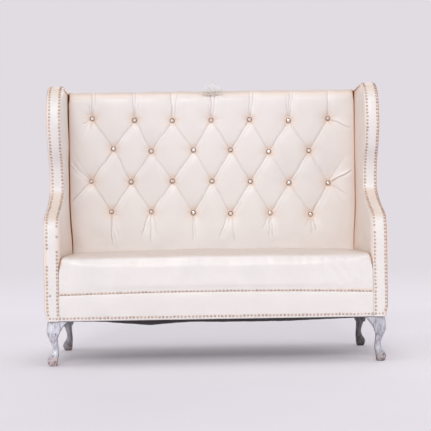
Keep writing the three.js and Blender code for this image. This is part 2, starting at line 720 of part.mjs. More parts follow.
// The rows of buttons. Each rests on the slopes round its dent, on twine that ends in the row's long tie.
function buildButtons() {
  const deepest = tuftedSurface(0, topButtonHeight);
  const run = buttonPitch / (2 * tuftSteps);
  const slope = (deepest - tuftedSurface(run, topButtonHeight)) / run;
  const seat = deepest - buttonRadius * slope - gap;
  const profile = [
    new THREE.Vector2(0, 0),
    new THREE.Vector2(buttonRadius, 0),
    new THREE.Vector2(buttonRadius * buttonCrownShare, buttonRimHeight),
    new THREE.Vector2(0, buttonHeight),
  ];
  const button = (x, z) => {
    const geometry = new THREE.LatheGeometry(profile, buttonSides);
    geometry.rotateX(Math.PI);
    geometry.translate(x, seat, z);
    const tie = twine(x, z, seat - buttonRimHeight, (webbingFront + webbingRear) / 2, twineRadius);
    return solidOf(geometry).add(tie);
  };
  buttonRows().forEach(({ z, xs }, row) => {
    const heights = [z - twineRadius, z + twineRadius];
    const longTie = block([xs[0], xs.at(-1)], [webbingFront, webbingRear], heights);
    piece(`button_row_${row + 1}`, geometryOf(withAll(longTie, xs.map((x) => button(x, z)))), crystal);
  });
}

// The tufted cover with its return over the top rail, the foam and the webbing, all clear of the twine.
function buildTuftedBack() {
  const holeRadius = twineRadius + gap / Math.cos(Math.PI / twineSides);
  const places = buttonRows().flatMap(({ z, xs }) => xs.map((x) => [x, z]));
  const holes = places.map(([x, z]) => twine(x, z, backPadFront, webbingFront, holeRadius));
  const returnHeights = [backReturnBase, backHeight];
  const overFoamDepth = [backPadRear - backReturnThickness, webbingFront];
  const overFoam = block([-seatHalf, seatHalf], overFoamDepth, returnHeights);
  const overFrame = block([-bandHalf, bandHalf], [webbingFront, backFrameRear], returnHeights);
  const cover = withAll(tuftedPad(), [overFoam, overFrame]);
  piece("back_cover", geometryOf(withoutAll(cover, [...holes, ...crestScrewHoles()])), leather);
  const slab = block([-seatHalf, seatHalf], [backFoamFront, backFoamRear], [backPadBase, backFoamTop]);
  piece("back_foam", geometryOf(withoutAll(slab, holes)), foam);

  // One strap below each row of buttons, tacked to the posts
  const reach = postInner + webbingOverlap;
  buttonRows().forEach(({ z }, row) => {
    const low = z - (buttonRowPitch + webbingWidth) / 2;
    const strap = block([-reach, reach], [webbingFront, webbingRear], [low, low + webbingWidth]);
    piece(`back_webbing_${row + 1}`, geometryOf(strap), webbing);
  });
}

// Covers on the sides and the back, and the padded panels that edge the arms and wings.
function buildCovers() {
  const sideCover = sideOutline(boardFrontInset, legHeight, backFrameRear);
  const sideShell = roundedPlate(sideCover, boardOuter + gap, halfWidth, sideCoverRounding, false);
  pair("outer_side_cover", sideShell, leather);
  const padBase = seamHeight + gap;
  const padOutline = sideOutline(innerPadNose, padBase, backFoamRear);
  const padFace = roundedPlate(padOutline, padInner, bandHalf, innerPadRounding, true);
  const bodyOutline = sideOutline(boardFrontInset, padBase, backFoamRear);
  const padBody = plate(bodyOutline, padInner + innerPadRounding, padOuter);
  pair("inner_side_pad", padFace.add(padBody), leather);
  const outer = sideEdge(0, legHeight, backFrameRear);
  const inner = sideEdge(frontPanelThickness, legHeight, backFrameRear).reverse();
  pair("front_panel", plate([...outer, ...inner], panelInner, panelOuter), leather);
  const back = block([-halfWidth, halfWidth], [backFrameRear + gap, overallDepth], [legHeight, backHeight]);
  piece("outer_back_cover", geometryOf(back), leather);
}

// A row of nail heads on one strip. Each place has a point on the cover and the direction out of it.
function nailStrip(places, across) {
  const rings = places.map(({ point, out, nail }) => {
    const half = nail ? nailRadius : nailNeckHalfWidth;
    const base = point.clone().addScaledVector(out, nailClearance);
    const low = base.clone().addScaledVector(across, -half);
    const high = base.clone().addScaledVector(across, half);
    return [low, high, base.clone().addScaledVector(out, nail ? nailHeight : nailNeckHeight)];
  });
  const count = rings.length;
  const faces = [[0, 2, 1], [3 * count - 3, 3 * count - 2, 3 * count - 1]];
  for (let ring = 0; ring < count - 1; ring++) {
    for (let i = 0; i < 3; i++) {
      const near = 3 * ring + i;
      const next = 3 * ring + ((i + 1) % 3);
      faces.push([near, next, next + 3], [near, next + 3, near + 3]);
    }
  }
  return closedGeometry(rings.flat(), faces);
}

// A straight nail strip across the front at one height.
function frontNails(name, height, reach) {
  const count = 2 * Math.floor((2 * reach) / nailPitch) + 1;
  const out = new THREE.Vector3(0, -1, 0);
  const places = Array.from({ length: count }, (_, i) => {
    const x = ((i - (count - 1) / 2) * nailPitch) / 2;
    return { point: new THREE.Vector3(x, 0, height), out, nail: i % 2 === 1 };
  });
  piece(name, nailStrip(places, new THREE.Vector3(0, 0, 1)), nailMetal);
}

// A nail strip up the front panel, along the side edge and over the top of the wing.
function panelNails(name, x) {
  const line = sideEdge(0, legHeight + baseNailLift + panelNailLift, wingTopNailDepth);
  const places = [];
  let travelled = 0;
  let next = 0;
  for (let i = 0; i < line.length - 1; i++) {
    const step = line[i + 1].clone().sub(line[i]);
    const length = step.length();
    step.normalize();
    for (; next <= travelled + length; next += nailPitch / 2) {
      const at = line[i].clone().addScaledVector(step, next - travelled);
      const out = new THREE.Vector3(0, -step.y, step.x);
      places.push({ point: new THREE.Vector3(x, at.x, at.y), out, nail: places.length % 2 === 1 });
    }
    travelled += length;
  }
  if (places.at(-1).nail) places.pop();
  pair(name, solidOf(nailStrip(places, new THREE.Vector3(1, 0, 0))), nailMetal);
}

// A cabriole leg: a turned-out S with two ears, a block under the frame and a bolt, and its mirror images.
function buildLegs() {
  const top = legHeight - gap;
  const rings = legSectionShares.map(([rise, outer, inner]) => {
    const centre = ((outer + inner) / 2) * legReach;
    const half = ((inner - outer) / 2) * legReach;
    const stretch = (value) => Math.sign(value) * Math.abs(value) ** (2 / legRoundness) * half;
    return Array.from({ length: legSides }, (_, i) => {
      const angle = (2 * Math.PI * (i + 0.5)) / legSides;
      const x = halfWidth - centre + stretch(Math.cos(angle));
      return new THREE.Vector3(x, centre + stretch(Math.sin(angle)), rise * top);
    });
  });
  const ear = () => {
    const outline = legEarShares.map(([offset, rise]) => new THREE.Vector2(offset * legReach, rise * top));
    return new THREE.ExtrudeGeometry(new THREE.Shape(outline), { depth: legEarThickness, bevelEnabled: false });
  };
  const frontEar = ear();
  frontEar.rotateX(Math.PI / 2);
  frontEar.rotateZ(Math.PI);
  frontEar.translate(halfWidth, legEarSetback, 0);
  const sideEar = ear();
  sideEar.applyMatrix4(sideView);
  sideEar.translate(halfWidth - legEarSetback - legEarThickness, 0, 0);
  const blockOuter = boardOuter - gap;
  const blockFront = bandThickness + gap;
  const seat = block(
    [blockOuter - legBlockSize, blockOuter],
    [blockFront, blockFront + legBlockSize],
    [top - gap, frameBase - gap],
  );
  const shaft = solidOf(loft(rings, (p) => new THREE.Vector2(p.x, p.y)));
  const leg = withAll(shaft, [solidOf(frontEar), solidOf(sideEar), seat, legBolt(legBoltInset, legBoltRadius)]);
  pair("front_leg", leg, legPaint);
  const back = mirrored(geometryOf(leg), 1, -1);
  back.translate(0, overallDepth, 0);
  pair("back_leg", solidOf(back), legPaint);
}

// The black cloth tacked under the frame, notched round the legs and sagging most in one pocket near the front.
function buildDustCover() {
  const half = boardOuter - dustInset;
  const front = railFront + gap;
  const rear = backFrameRear - dustInset;
  const top = frameBase - gap;
  const sag = (x, y) => {
    const u = (x + half) / (2 * half);
    const v = (y - front) / (rear - front);
    const slack = Math.sin(Math.PI * u) * Math.sin(Math.PI * v);
    const across = (x - dustPocketX) / dustPocketWidth;
    const along = (y - front - dustPocketDepth) / dustPocketDepth;
    const pocket = Math.exp(-(across ** 2) - along ** 2) * Math.min(1, 4 * v * (1 - v));
    return dustSag * Math.sqrt(slack) + dustPocketSag * pocket;
  };
  const rings = Array.from({ length: dustColumns + 1 }, (_, i) => {
    const x = -half + (2 * half * i) / dustColumns;
    const over = Array.from({ length: dustRows + 1 }, (_, j) => {
      const y = front + ((rear - front) * j) / dustRows;
      return new THREE.Vector3(x, y, top - sag(x, y));
    });
    const under = over.map((p) => new THREE.Vector3(p.x, p.y, p.z - dustThickness)).reverse();
    return [...over, ...under];
  });
  const sheet = solidOf(loft(rings, (p) => new THREE.Vector2(p.y, p.z)));
  const notchAcross = [halfWidth - dustLegClearance, halfWidth];
  const notches = [[0, dustLegClearance], [overallDepth - dustLegClearance, overallDepth]].flatMap((y) => {
    const notch = [notchAcross, y, [0, wingHeight]];
    return [block(...notch), block(...otherSide(notch))];
  });
  piece("dust_cover", geometryOf(withoutAll(sheet, notches)), blackCloth);
}

// The crest's screws: their places across the settee, their depth, a shank of any radius, and their holes.
const crestScrewPlaces = [-crestScrewDistance / 2, crestScrewDistance / 2];
const crestScrewDepth = backPadFront + crestBracketReach - crestScrewRearInset;
const crestTabBase = backHeight + gap;
const crestTabTop = crestTabBase + crestBracketThickness;
function crestScrewShank(x, radius) {
  const geometry = new THREE.CylinderGeometry(radius, radius, crestScrewLength, screwSides);
  geometry.rotateX(Math.PI / 2);
  geometry.translate(x, crestScrewDepth, crestTabTop + gap - crestScrewLength / 2);
  return solidOf(geometry);
}
function crestScrewHoles() {
  return crestScrewPlaces.map((x) => crestScrewShank(x, crestScrewRadius + gap));
}

// The pierced crest over the middle of the back: a bar, four rings and a leaf.
function buildCrest() {
  const rear = backPadFront - gap;
  const disc = (radiusX, radiusZ, x, z, thickness) => {
    const geometry = new THREE.CylinderGeometry(1, 1, thickness, crestSides);
    geometry.scale(radiusX, 1, radiusZ);
    geometry.translate(x, rear - crestThickness / 2, crestBase + z);
    return solidOf(geometry);
  };
  const ringDisc = (ring, share, thickness) =>
    disc(share * crestHeight, share * crestHeight, ring.x * crestHalfWidth, ring.z * crestHeight, thickness);
  const leafDisc = (scale, thickness) => {
    const { z, halfWidth: across, halfHeight: up } = crestLeafShares;
    return disc(scale * across * crestHeight, scale * up * crestHeight, 0, z * crestHeight, thickness);
  };
  const barHeights = crestBarShares.map((share) => crestBase + share * crestHeight);
  const bar = block([-crestHalfWidth, crestHalfWidth], [rear - crestThickness, rear], barHeights);
  const rings = crestRingShares.flatMap((ring) => [-1, 1].map((side) => ({ ...ring, x: side * ring.x })));
  const solids = [leafDisc(1, crestThickness)];
  solids.push(...rings.map((ring) => ringDisc(ring, ring.outer, crestThickness)));
  const cutThickness = 2 * crestThickness;
  const holes = [leafDisc(crestLeafShares.hole, cutThickness)];
  holes.push(...rings.map((ring) => ringDisc(ring, ring.inner, cutThickness)));
  piece("crest_ornament", geometryOf(withoutAll(withAll(bar, solids), holes)), silver);
}

// The angle bracket behind the crest, and the two screws that hold it to the top rail.
function buildCrestBracket() {
  const across = [-crestBracketHalfWidth, crestBracketHalfWidth];
  const tab = block(across, [backPadFront, backPadFront + crestBracketReach], [crestTabBase, crestTabTop]);
  const uprightHeights = [crestTabBase, crestTabBase + crestBracketRise];
  const upright = block(across, [backPadFront, backPadFront + crestBracketThickness], uprightHeights);
  piece("crest_bracket", geometryOf(withoutAll(tab.add(upright), crestScrewHoles())), silver);
  ["left", "right"].forEach((side, i) => {
    const x = crestScrewPlaces[i];
    const radius = crestScrewHeadRadius;
    const head = new THREE.CylinderGeometry(radius, radius, crestScrewHeadHeight, screwSides);
    head.rotateX(Math.PI / 2);
    head.translate(x, crestScrewDepth, crestTabTop + gap + crestScrewHeadHeight / 2);
    const screw = crestScrewShank(x, crestScrewRadius).add(solidOf(head));
    piece(`crest_screw_${side}`, geometryOf(screw), silver);
  });
}

buildSideFrames();
buildSeatFrame();
buildBackFrame();
buildCornerBlocks();
buildSeatSupport();
buildSeatCover();
buildTuftedBack();
buildButtons();
buildCovers();
frontNails("nail_strip_band", seamHeight + gap / 2, seatHalf - bandNailEndInset);
frontNails("nail_strip_base", legHeight + baseNailLift, halfWidth - baseNailEndInset);
panelNails("nail_strip_inner", panelInner + innerNailInset);
panelNails("nail_strip_outer", panelOuter - outerNailInset);
buildLegs();
buildDustCover();
buildCrest();
buildCrestBracket();

export default root;
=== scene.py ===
import json
import math

import bmesh
import bpy
import numpy as np
from mathutils import Matrix, Vector


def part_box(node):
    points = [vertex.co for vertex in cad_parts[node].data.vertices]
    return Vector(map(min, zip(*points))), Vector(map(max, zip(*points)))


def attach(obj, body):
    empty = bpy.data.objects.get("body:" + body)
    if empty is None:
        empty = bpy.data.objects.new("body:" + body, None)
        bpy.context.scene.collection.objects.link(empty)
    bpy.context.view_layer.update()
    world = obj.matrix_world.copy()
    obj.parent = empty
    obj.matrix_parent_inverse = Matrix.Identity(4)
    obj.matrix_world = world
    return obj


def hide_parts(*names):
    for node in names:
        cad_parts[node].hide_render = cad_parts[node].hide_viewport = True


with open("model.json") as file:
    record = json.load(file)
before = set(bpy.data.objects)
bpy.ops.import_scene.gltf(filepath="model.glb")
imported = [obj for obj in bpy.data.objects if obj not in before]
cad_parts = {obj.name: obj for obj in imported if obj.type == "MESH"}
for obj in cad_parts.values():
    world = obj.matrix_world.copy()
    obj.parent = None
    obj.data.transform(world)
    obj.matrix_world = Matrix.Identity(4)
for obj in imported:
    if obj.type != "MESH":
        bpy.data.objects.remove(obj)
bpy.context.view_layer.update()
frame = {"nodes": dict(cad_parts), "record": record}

LOW, HIGH = 0, 1

# The side edge, seen from the side, as it is in the solids: the arm's front, the sweep to the waist, then the wing
ARM_FACE_HEIGHT = 0.540
WAIST_DEPTH = 0.280
WAIST_HEIGHT = 0.775
WING_REACH = 0.105
ARM_CURVE_SHARES = [(0, 0), (0.04, 0.3), (0.16, 0.47), (0.5, 0.62), (0.82, 0.8), (1, 1)]
WING_CURVE_SHARES = [
    (0.12, 0.2), (0.7, 0.39), (0.98, 0.56), (0.98, 0.68),
    (0.8, 0.83), (0.45, 0.93), (-0.1, 0.985), (-0.95, 1),
]
EDGE_STEPS = 150

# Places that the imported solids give, on the right-hand side
panel_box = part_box("front_panel_right")
FACE = panel_box[LOW].y
FRAME_REAR = panel_box[HIGH].y
WING_HEIGHT = panel_box[HIGH].z
COVER_BASE = panel_box[LOW].z
PANEL_INNER, PANEL_OUTER = panel_box[LOW].x, panel_box[HIGH].x
HALF_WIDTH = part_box("outer_side_cover_right")[HIGH].x
SIDE_COVER_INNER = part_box("outer_side_cover_right")[LOW].x
PAD_INNER, PAD_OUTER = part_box("inner_side_pad_right")[LOW].x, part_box("inner_side_pad_right")[HIGH].x
PAD_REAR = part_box("inner_side_pad_right")[HIGH].y
BACK_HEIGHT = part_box("outer_back_cover")[HIGH].z
BACK_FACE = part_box("outer_back_cover")[HIGH].y
SEAM_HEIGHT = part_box("front_band")[HIGH].z
SEAT_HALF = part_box("seat_cover")[HIGH].x
SEAT_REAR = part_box("seat_cover")[HIGH].y
SEAT_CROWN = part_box("seat_cover")[HIGH].z
BACK_PAD_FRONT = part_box("back_cover")[LOW].y
BACK_PAD_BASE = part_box("back_cover")[LOW].z
BAND_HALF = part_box("front_band")[HIGH].x
WING_REAR_DROP = 0.010
PIECE_GAP = 0.0003

# Covers
LEATHER_THICKNESS = 0.0012
PANEL_THICKNESS = 0.008
PANEL_ROUNDING = 0.0035
PANEL_PUFF = 0.0018
TUCK_HEIGHT = 0.065
TUCK_INSET = 0.009
SIDE_PAD_ROUNDING = 0.013
SIDE_PAD_NOSE = 0.003
SIDE_PAD_PUFF = 0.0015
SIDE_COVER_ROUNDING = 0.009
PANEL_OUTER_ROUNDING = 0.009
PAD_TAPER = 0.0105

# Cloth simulation: the wadding's pressure, its steps, and for each piece how far it starts inside and may move
CLOTH_PRESSURE = 4
CLOTH_STEPS = 20
BACK_STRIDES, BACK_START, BACK_SWELL = (6, 5), 0.0045, 0.009
SEAT_STRIDES, SEAT_START, SEAT_SWELL = (3, 3), 0.005, 0.006
PAD_STRIDES, PAD_START, PAD_SWELL = (5, 4), 0.003, 0.0045

# Seat
SEAT_ROWS, SEAT_COLUMNS = 151, 301
SEAT_LINE_SHARES = [
    (0, 0), (0, 0.35), (0, 0.66), (0, 0.8), (0.004, 0.89),
    (0.018, 0.955), (0.055, 0.993), (0.25, 1.015), (0.7, 1.02), (1, 1.0),
]
SEAT_LEFT_SHARES = [(0, 1.04), (0.25, 1.035), (0.6, 1), (0.85, 0.97), (0.94, 0.94), (0.98, 0.89), (1, 0.80)]
SEAT_RIGHT_SHARES = [(0, 1.04), (0.25, 1.035), (0.6, 1.0), (0.85, 0.965), (0.94, 0.93), (0.985, 0.87), (1, 0.77)]
SEAT_FRONT_SPREAD = 0.0072
SEAT_PAD_BASE = 0.4002
SEAT_SKIRT_THICKNESS = 0.016

# Tufted back
BUTTON_PITCH = 0.189
PILLOW_DEPTH = 0.0085
BUTTON_DENT = 0.013
BACK_CROWN = 0.009
BACK_ROWS, BACK_TURN_ROWS, BACK_COLUMNS = 360, 13, 561
BACK_TOP_ROUNDING = 0.034
BACK_SIDE_ROUNDING = 0.008
TUFT_FADE = 0.030
BACK_PAD_THICKNESS = 0.050
BACK_RETURN_THICKNESS = 0.010

# The seam above the band bows up a little in the middle
SEAM_BOW = 0.0052
SEAM_BOW_FALL = 0.0095
SEAM_BOW_CENTRE = -0.05
SEAM_BOW_REACH = 0.664

# Nails and buttons
NAIL_RADIUS = 0.0055
NAIL_HEIGHT = 0.0026
NAIL_PITCH = 0.016
INNER_NAIL_INSET = 0.007
OUTER_NAIL_INSET = 0.011
NAIL_LINES = {
    ("inner", "left"): 0.6900, ("outer", "left"): 0.7330,
    ("inner", "right"): 0.6945, ("outer", "right"): 0.7400,
}
BASE_NAIL_LIFT = 0.013
PANEL_NAIL_LIFT = 0.016
WING_TOP_NAIL_DEPTH = 0.430
BAND_NAIL_REACH = 0.680
STRAY_NAIL = (0.7206, 0.308)
BUTTON_RADIUS = 0.0116

# Camera, as it was for the photograph
FOCAL_PIXELS = 1242.4
PICTURE_WIDTH = 431
PRINCIPAL_POINT = (215.54, 222.55)
SENSOR_WIDTH = 36
CAMERA_OFFSET = 0.0008
CAMERA_HEIGHT = 0.6378
CAMERA_DISTANCE = 5.4
CAMERA_YAW = 0.0189
CAMERA_PITCH = 0.0041
CAMERA_ROLL = 0.0151
FLOOR_GLOW = 0.13
FLOOR_FADE_START, FLOOR_FADE_END = 3.5, 9.0


def node(tree, kind, inputs=(), **settings):
    """A new shader node. An input's value is a number, a colour, a vector, or another node's output."""
    made = tree.nodes.new("ShaderNode" + kind)
    for name, value in settings.items():
        setattr(made, name, value)
    for name, value in dict(inputs).items():
        socket = made.inputs[name]
        if isinstance(value, bpy.types.NodeSocket):
            tree.links.new(value, socket)
        else:
            socket.default_value = value
    return made


def colour(red, green, blue):
    """A linear colour from the 0 to 255 values that a screen shows."""
    def linear(value):
        value /= 255
        return value / 12.92 if value <= 0.04045 else ((value + 0.055) / 1.055) ** 2.4
    return (linear(red), linear(green), linear(blue), 1)


def ramp(tree, factor, stops):
    """A colour ramp over (place, colour) stops."""
    made = node(tree, "ValToRGB", {"Fac": factor})
    elements = made.color_ramp.elements
    while len(elements) < len(stops):
        elements.new(0.5)
    for element, (place, shade) in zip(elements, stops):
        element.position = place
        element.color = shade
    return made.outputs["Color"]


def mix(tree, factor, first, second, blend="MIX"):
    """A mix of two colours."""
    made = node(tree, "Mix", data_type="RGBA", blend_type=blend)
    for socket, value in ((0, factor), (6, first), (7, second)):
        if isinstance(value, bpy.types.NodeSocket):
            tree.links.new(value, made.inputs[socket])
        else:
            made.inputs[socket].default_value = value
    return made.outputs[2]


def noise(tree, place, scale, detail=3, roughness=0.5, distortion=0):
    inputs = {"Vector": place, "Scale": scale, "Detail": detail, "Roughness": roughness, "Distortion": distortion}
    return node(tree, "TexNoise", inputs).outputs["Fac"]


def cells(tree, place, scale, feature="F1", randomness=1):
    inputs = {"Vector": place, "Scale": scale, "Randomness": randomness}
    return node(tree, "TexVoronoi", inputs, feature=feature).outputs["Distance"]


def between(tree, value, low, high, to_low, to_high):
    """A value moved from one range to another, clamped at both ends."""
    inputs = {"Value": value, "From Min": low, "From Max": high, "To Min": to_low, "To Max": to_high}
    return node(tree, "MapRange", inputs).outputs["Result"]


def calculate(tree, operation, *values):
    made = node(tree, "Math", operation=operation)
    for socket, value in enumerate(values):
        if isinstance(value, bpy.types.NodeSocket):
            tree.links.new(value, made.inputs[socket])
        else:
            made.inputs[socket].default_value = value
    return made.outputs["Value"]


def bump(tree, height, distance, before=None, strength=1):
    inputs = {"Height": height, "Distance": distance, "Strength": strength}
    if before is not None:
        inputs["Normal"] = before
    return node(tree, "Bump", inputs).outputs["Normal"]


def stretched(tree, place, scale):
    return node(tree, "Mapping", {"Vector": place, "Scale": scale}).outputs["Vector"]


def new_material(name):
    """A material, its tree, its surface shader and the place on the object in metres."""
    material = bpy.data.materials.new(name)
    material.use_nodes = True
    tree = material.node_tree
    place = node(tree, "TexCoord").outputs["Object"]
    return material, tree, tree.nodes["Principled BSDF"], place


def finish_surface(tree, surface, links, **constants):
    """Links textures to the surface shader, and sets its plain numbers on its own sockets."""
    for name, value in links.items():
        tree.links.new(value, surface.inputs[name])
    for name, value in constants.items():
        surface.inputs[name.replace("_", " ")].default_value = value


def shade_and_highlight_tone(tree, tone):
    """Painted shade on leather: peach near a seam or a button, brown in a deep joint, and grey along the line of a
    fold.

    Where fold is below zero, beside a pleat, the leather is painted paler: a painted highlight.
    """
    shade_and_tarnish = node(tree, "Attribute", attribute_name="shade_and_tarnish").outputs["Fac"]
    fold = node(tree, "Attribute", attribute_name="fold").outputs["Fac"]
    peach = mix(tree, between(tree, shade_and_tarnish, 0, 0.4, 0, 0.7), tone, colour(236, 205, 181))
    brown = mix(tree, between(tree, shade_and_tarnish, 0.4, 1, 0, 0.95), peach, colour(178, 112, 74))
    folded = mix(tree, between(tree, fold, 0, 1, 0, 0.9), brown, colour(138, 112, 104))
    return mix(tree, between(tree, fold, -1, 0, 1, 0), folded, colour(251, 248, 246))


def leather_material():
    """Ivory leather with a pearly coat, a fine pebble grain and soft creasing, painted peach and brown shade in its
    folds and joints, and painted highlights beside its pleats.
    """
    material, tree, surface, place = new_material("ivory_leather")
    tone = ramp(tree, noise(tree, place, 5, 4), [
        (0.3, colour(233, 228, 226)), (0.5, colour(238, 233, 230)), (0.7, colour(236, 230, 227)),
    ])
    pores = cells(tree, place, 620, "F1")
    toned = mix(tree, between(tree, pores, 0.25, 0.75, 0, 0.08), tone, colour(222, 206, 194))
    # Painted shade and painted highlights from each piece's own values
    folded = shade_and_highlight_tone(tree, toned)
    grain = calculate(tree, "MULTIPLY", pores, noise(tree, place, 900, 2))
    creasing = noise(tree, stretched(tree, place, (1, 1, 1.6)), 46, 5, 0.6)
    ripple = noise(tree, place, 11, 2)
    relief = bump(tree, ripple, 0.0009)
    relief = bump(tree, creasing, 0.0002, relief)
    relief = bump(tree, grain, 0.00022, relief)
    gloss = between(tree, noise(tree, place, 24, 4), 0.3, 0.7, 0.30, 0.42)
    shade_and_tarnish = node(tree, "Attribute", attribute_name="shade_and_tarnish").outputs["Fac"]
    gloss = calculate(tree, "MULTIPLY_ADD", shade_and_tarnish, 0.5, gloss)
    fold = node(tree, "Attribute", attribute_name="fold").outputs["Fac"]
    gloss = calculate(tree, "ADD", gloss, between(tree, fold, -1, 0, -0.1, 0))
    finish_surface(
        tree, surface, {"Base Color": folded, "Roughness": gloss, "Normal": relief},
        Coat_Weight=0.11, Coat_Roughness=0.3, Specular_IOR_Level=0.45,
    )
    return material


def timber_material():
    """Planed beech: long fibres, faint rings and small pores."""
    material, tree, surface, place = new_material("beech")
    along = stretched(tree, place, (5, 5, 34))
    rings = noise(tree, along, 3.2, 5, 0.6, 1.6)
    wood = ramp(tree, rings, [
        (0.3, colour(176, 132, 88)), (0.47, colour(205, 164, 116)), (0.55, colour(193, 149, 102)), (0.7, colour(216, 180, 134)),
    ])
    fibre = noise(tree, stretched(tree, place, (260, 260, 12)), 6, 4)
    worked = mix(tree, between(tree, fibre, 0.45, 0.7, 0, 0.45), wood, colour(150, 106, 66))
    relief = bump(tree, fibre, 0.0004)
    gloss = between(tree, fibre, 0.3, 0.7, 0.55, 0.75)
    finish_surface(tree, surface, {"Base Color": worked, "Roughness": gloss, "Normal": relief})
    return material


def foam_material():
    """Cream foam with open cells and patches of wear."""
    material, tree, surface, place = new_material("cream_foam")
    pores = cells(tree, place, 340)
    tone = ramp(tree, noise(tree, place, 9, 3), [(0.35, colour(224, 208, 156)), (0.65, colour(240, 229, 190))])
    holed = mix(tree, between(tree, pores, 0.1, 0.5, 0.6, 0), tone, colour(168, 146, 92))
    finish_surface(tree, surface, {"Base Color": holed, "Normal": bump(tree, pores, 0.0012)}, Roughness=0.95)
    return material


def woven_material(name, dark, light, threads, relief_height, gloss):
    """Plain weave: two families of threads, with slubs and faded patches."""
    material, tree, surface, place = new_material(name)
    warp = node(tree, "TexWave", {"Vector": place, "Scale": threads, "Distortion": 0.6}, bands_direction="X")
    weft_along_y = node(tree, "TexWave", {"Vector": place, "Scale": threads, "Distortion": 0.6}, bands_direction="Y")
    weft_along_z = node(tree, "TexWave", {"Vector": place, "Scale": threads, "Distortion": 0.6}, bands_direction="Z")
    weft = calculate(tree, "MAXIMUM", weft_along_y.outputs["Fac"], weft_along_z.outputs["Fac"])
    weave = calculate(tree, "MULTIPLY", warp.outputs["Fac"], weft)
    faded = noise(tree, place, 14, 4)
    shade = calculate(tree, "MULTIPLY_ADD", faded, 0.5, calculate(tree, "MULTIPLY", weave, 0.6))
    tone = ramp(tree, shade, [(0.15, dark), (0.8, light)])
    finish_surface(
        tree, surface, {"Base Color": tone, "Normal": bump(tree, weave, relief_height)},
        Roughness=gloss, Sheen_Weight=0.25, Sheen_Roughness=0.5,
    )
    return material


def metal_material(name, clean, tarnish_and_shade_colour, gloss, spots, tarnish_share, metallic=1):
    """Metal with tarnished spots, fine scratches, and a darker tone from each piece's own values, which paint shade on
    it.
    """
    material, tree, surface, place = new_material(name)
    shade_and_tarnish = node(tree, "Attribute", attribute_name="shade_and_tarnish").outputs["Fac"]
    patches = between(tree, noise(tree, place, spots, 5, 0.65), 0.5, 0.75, 0, tarnish_share)
    # Darker where tarnished in spots, and where the piece's values paint shade
    tarnish_and_shade = calculate(tree, "MAXIMUM", patches, shade_and_tarnish)
    tone = mix(tree, tarnish_and_shade, clean, tarnish_and_shade_colour)
    scratches = noise(tree, stretched(tree, place, (900, 60, 500)), 3, 2)
    roughness = calculate(tree, "MULTIPLY_ADD", tarnish_and_shade, 0.3, between(tree, scratches, 0.3, 0.7, gloss, gloss + 0.1))
    finish_surface(
        tree, surface, {"Base Color": tone, "Roughness": roughness, "Normal": bump(tree, scratches, 0.00006)},
        Metallic=metallic,
    )
    return material


def crystal_material():
    """Cut crystal, slightly cloudy at its edge."""
    material, tree, surface, place = new_material("cut_crystal")
    cloud = noise(tree, place, 140, 3, 0.7)
    tone = ramp(tree, cloud, [(0.35, colour(176, 164, 160)), (0.5, colour(228, 222, 220)), (0.62, colour(252, 250, 248))])
    gloss = between(tree, cloud, 0.3, 0.7, 0.02, 0.07)
    finish_surface(
        tree, surface, {"Base Color": tone, "Roughness": gloss}, Metallic=0.35, IOR=1.55, Coat_Weight=0.8,
        Coat_Roughness=0.03,
    )
    return material


def leg_material():
    """Silver-grey paint rubbed over dark wood: brush marks, dark spots, painted shade on the faces that turn to the
    sides and along the edges, brown worn feet.
    """
    material, tree, surface, place = new_material("distressed_paint")
    shade_and_tarnish = node(tree, "Attribute", attribute_name="shade_and_tarnish").outputs["Fac"]
    height = node(tree, "SeparateXYZ", {"Vector": place}).outputs["Z"]
    facing = node(tree, "SeparateXYZ", {"Vector": node(tree, "NewGeometry").outputs["Normal"]}).outputs["Y"]
    facing = calculate(tree, "ABSOLUTE", facing)
    brushed = noise(tree, stretched(tree, place, (90, 90, 14)), 2.4, 5, 0.6, 0.4)
    paint = ramp(tree, brushed, [
        (0.28, colour(148, 148, 158)), (0.45, colour(196, 197, 206)), (0.6, colour(222, 222, 229)), (0.75, colour(238, 238, 243)),
    ])
    # Painted shade on faces that turn to the sides, with the tone of the brush strokes
    side_shade_and_brushing = calculate(tree, "ADD", between(tree, facing, 0.05, 0.6, 0.6, 0), between(tree, brushed, 0.4, 0.6, 0.12, -0.12))
    shaded = mix(tree, between(tree, side_shade_and_brushing, 0, 1, 0, 1), paint, colour(62, 54, 62))
    spots = between(tree, cells(tree, stretched(tree, place, (1, 1, 0.8)), 42), 0.12, 0.17, 1, 0)
    spotted = mix(tree, spots, shaded, colour(58, 48, 50))
    worn_mask = calculate(
        tree, "MULTIPLY",
        between(tree, height, 0.020, 0.048, 1, 0),
        between(tree, noise(tree, place, 70, 4, 0.7), 0.42, 0.56, 0.15, 1),
    )
    bare = ramp(tree, noise(tree, stretched(tree, place, (1, 1, 0.3)), 120, 4), [
        (0.35, colour(104, 66, 52)), (0.55, colour(160, 112, 94)), (0.7, colour(206, 170, 160)),
    ])
    worn = mix(tree, worn_mask, spotted, bare)
    # Painted shade from each leg's own values: darker inner sides, foot, top, and whole rear legs
    painted_leg_shade = mix(tree, shade_and_tarnish, worn, colour(44, 37, 42))
    relief = bump(tree, brushed, 0.0008)
    relief = bump(tree, spots, 0.0006, relief)
    gloss = between(tree, brushed, 0.3, 0.7, 0.36, 0.55)
    finish_surface(
        tree, surface, {"Base Color": painted_leg_shade, "Roughness": gloss, "Normal": relief}, Metallic=0.25, Coat_Weight=0.15,
        Coat_Roughness=0.3,
    )
    return material


def twine_material():
    """Waxed flax twine."""
    material, tree, surface, place = new_material("flax_twine")
    strands = noise(tree, stretched(tree, place, (900, 120, 900)), 2, 4)
    tone = ramp(tree, strands, [(0.3, colour(150, 124, 86)), (0.7, colour(206, 184, 146))])
    finish_surface(tree, surface, {"Base Color": tone, "Normal": bump(tree, strands, 0.0003)}, Roughness=0.8)
    return material


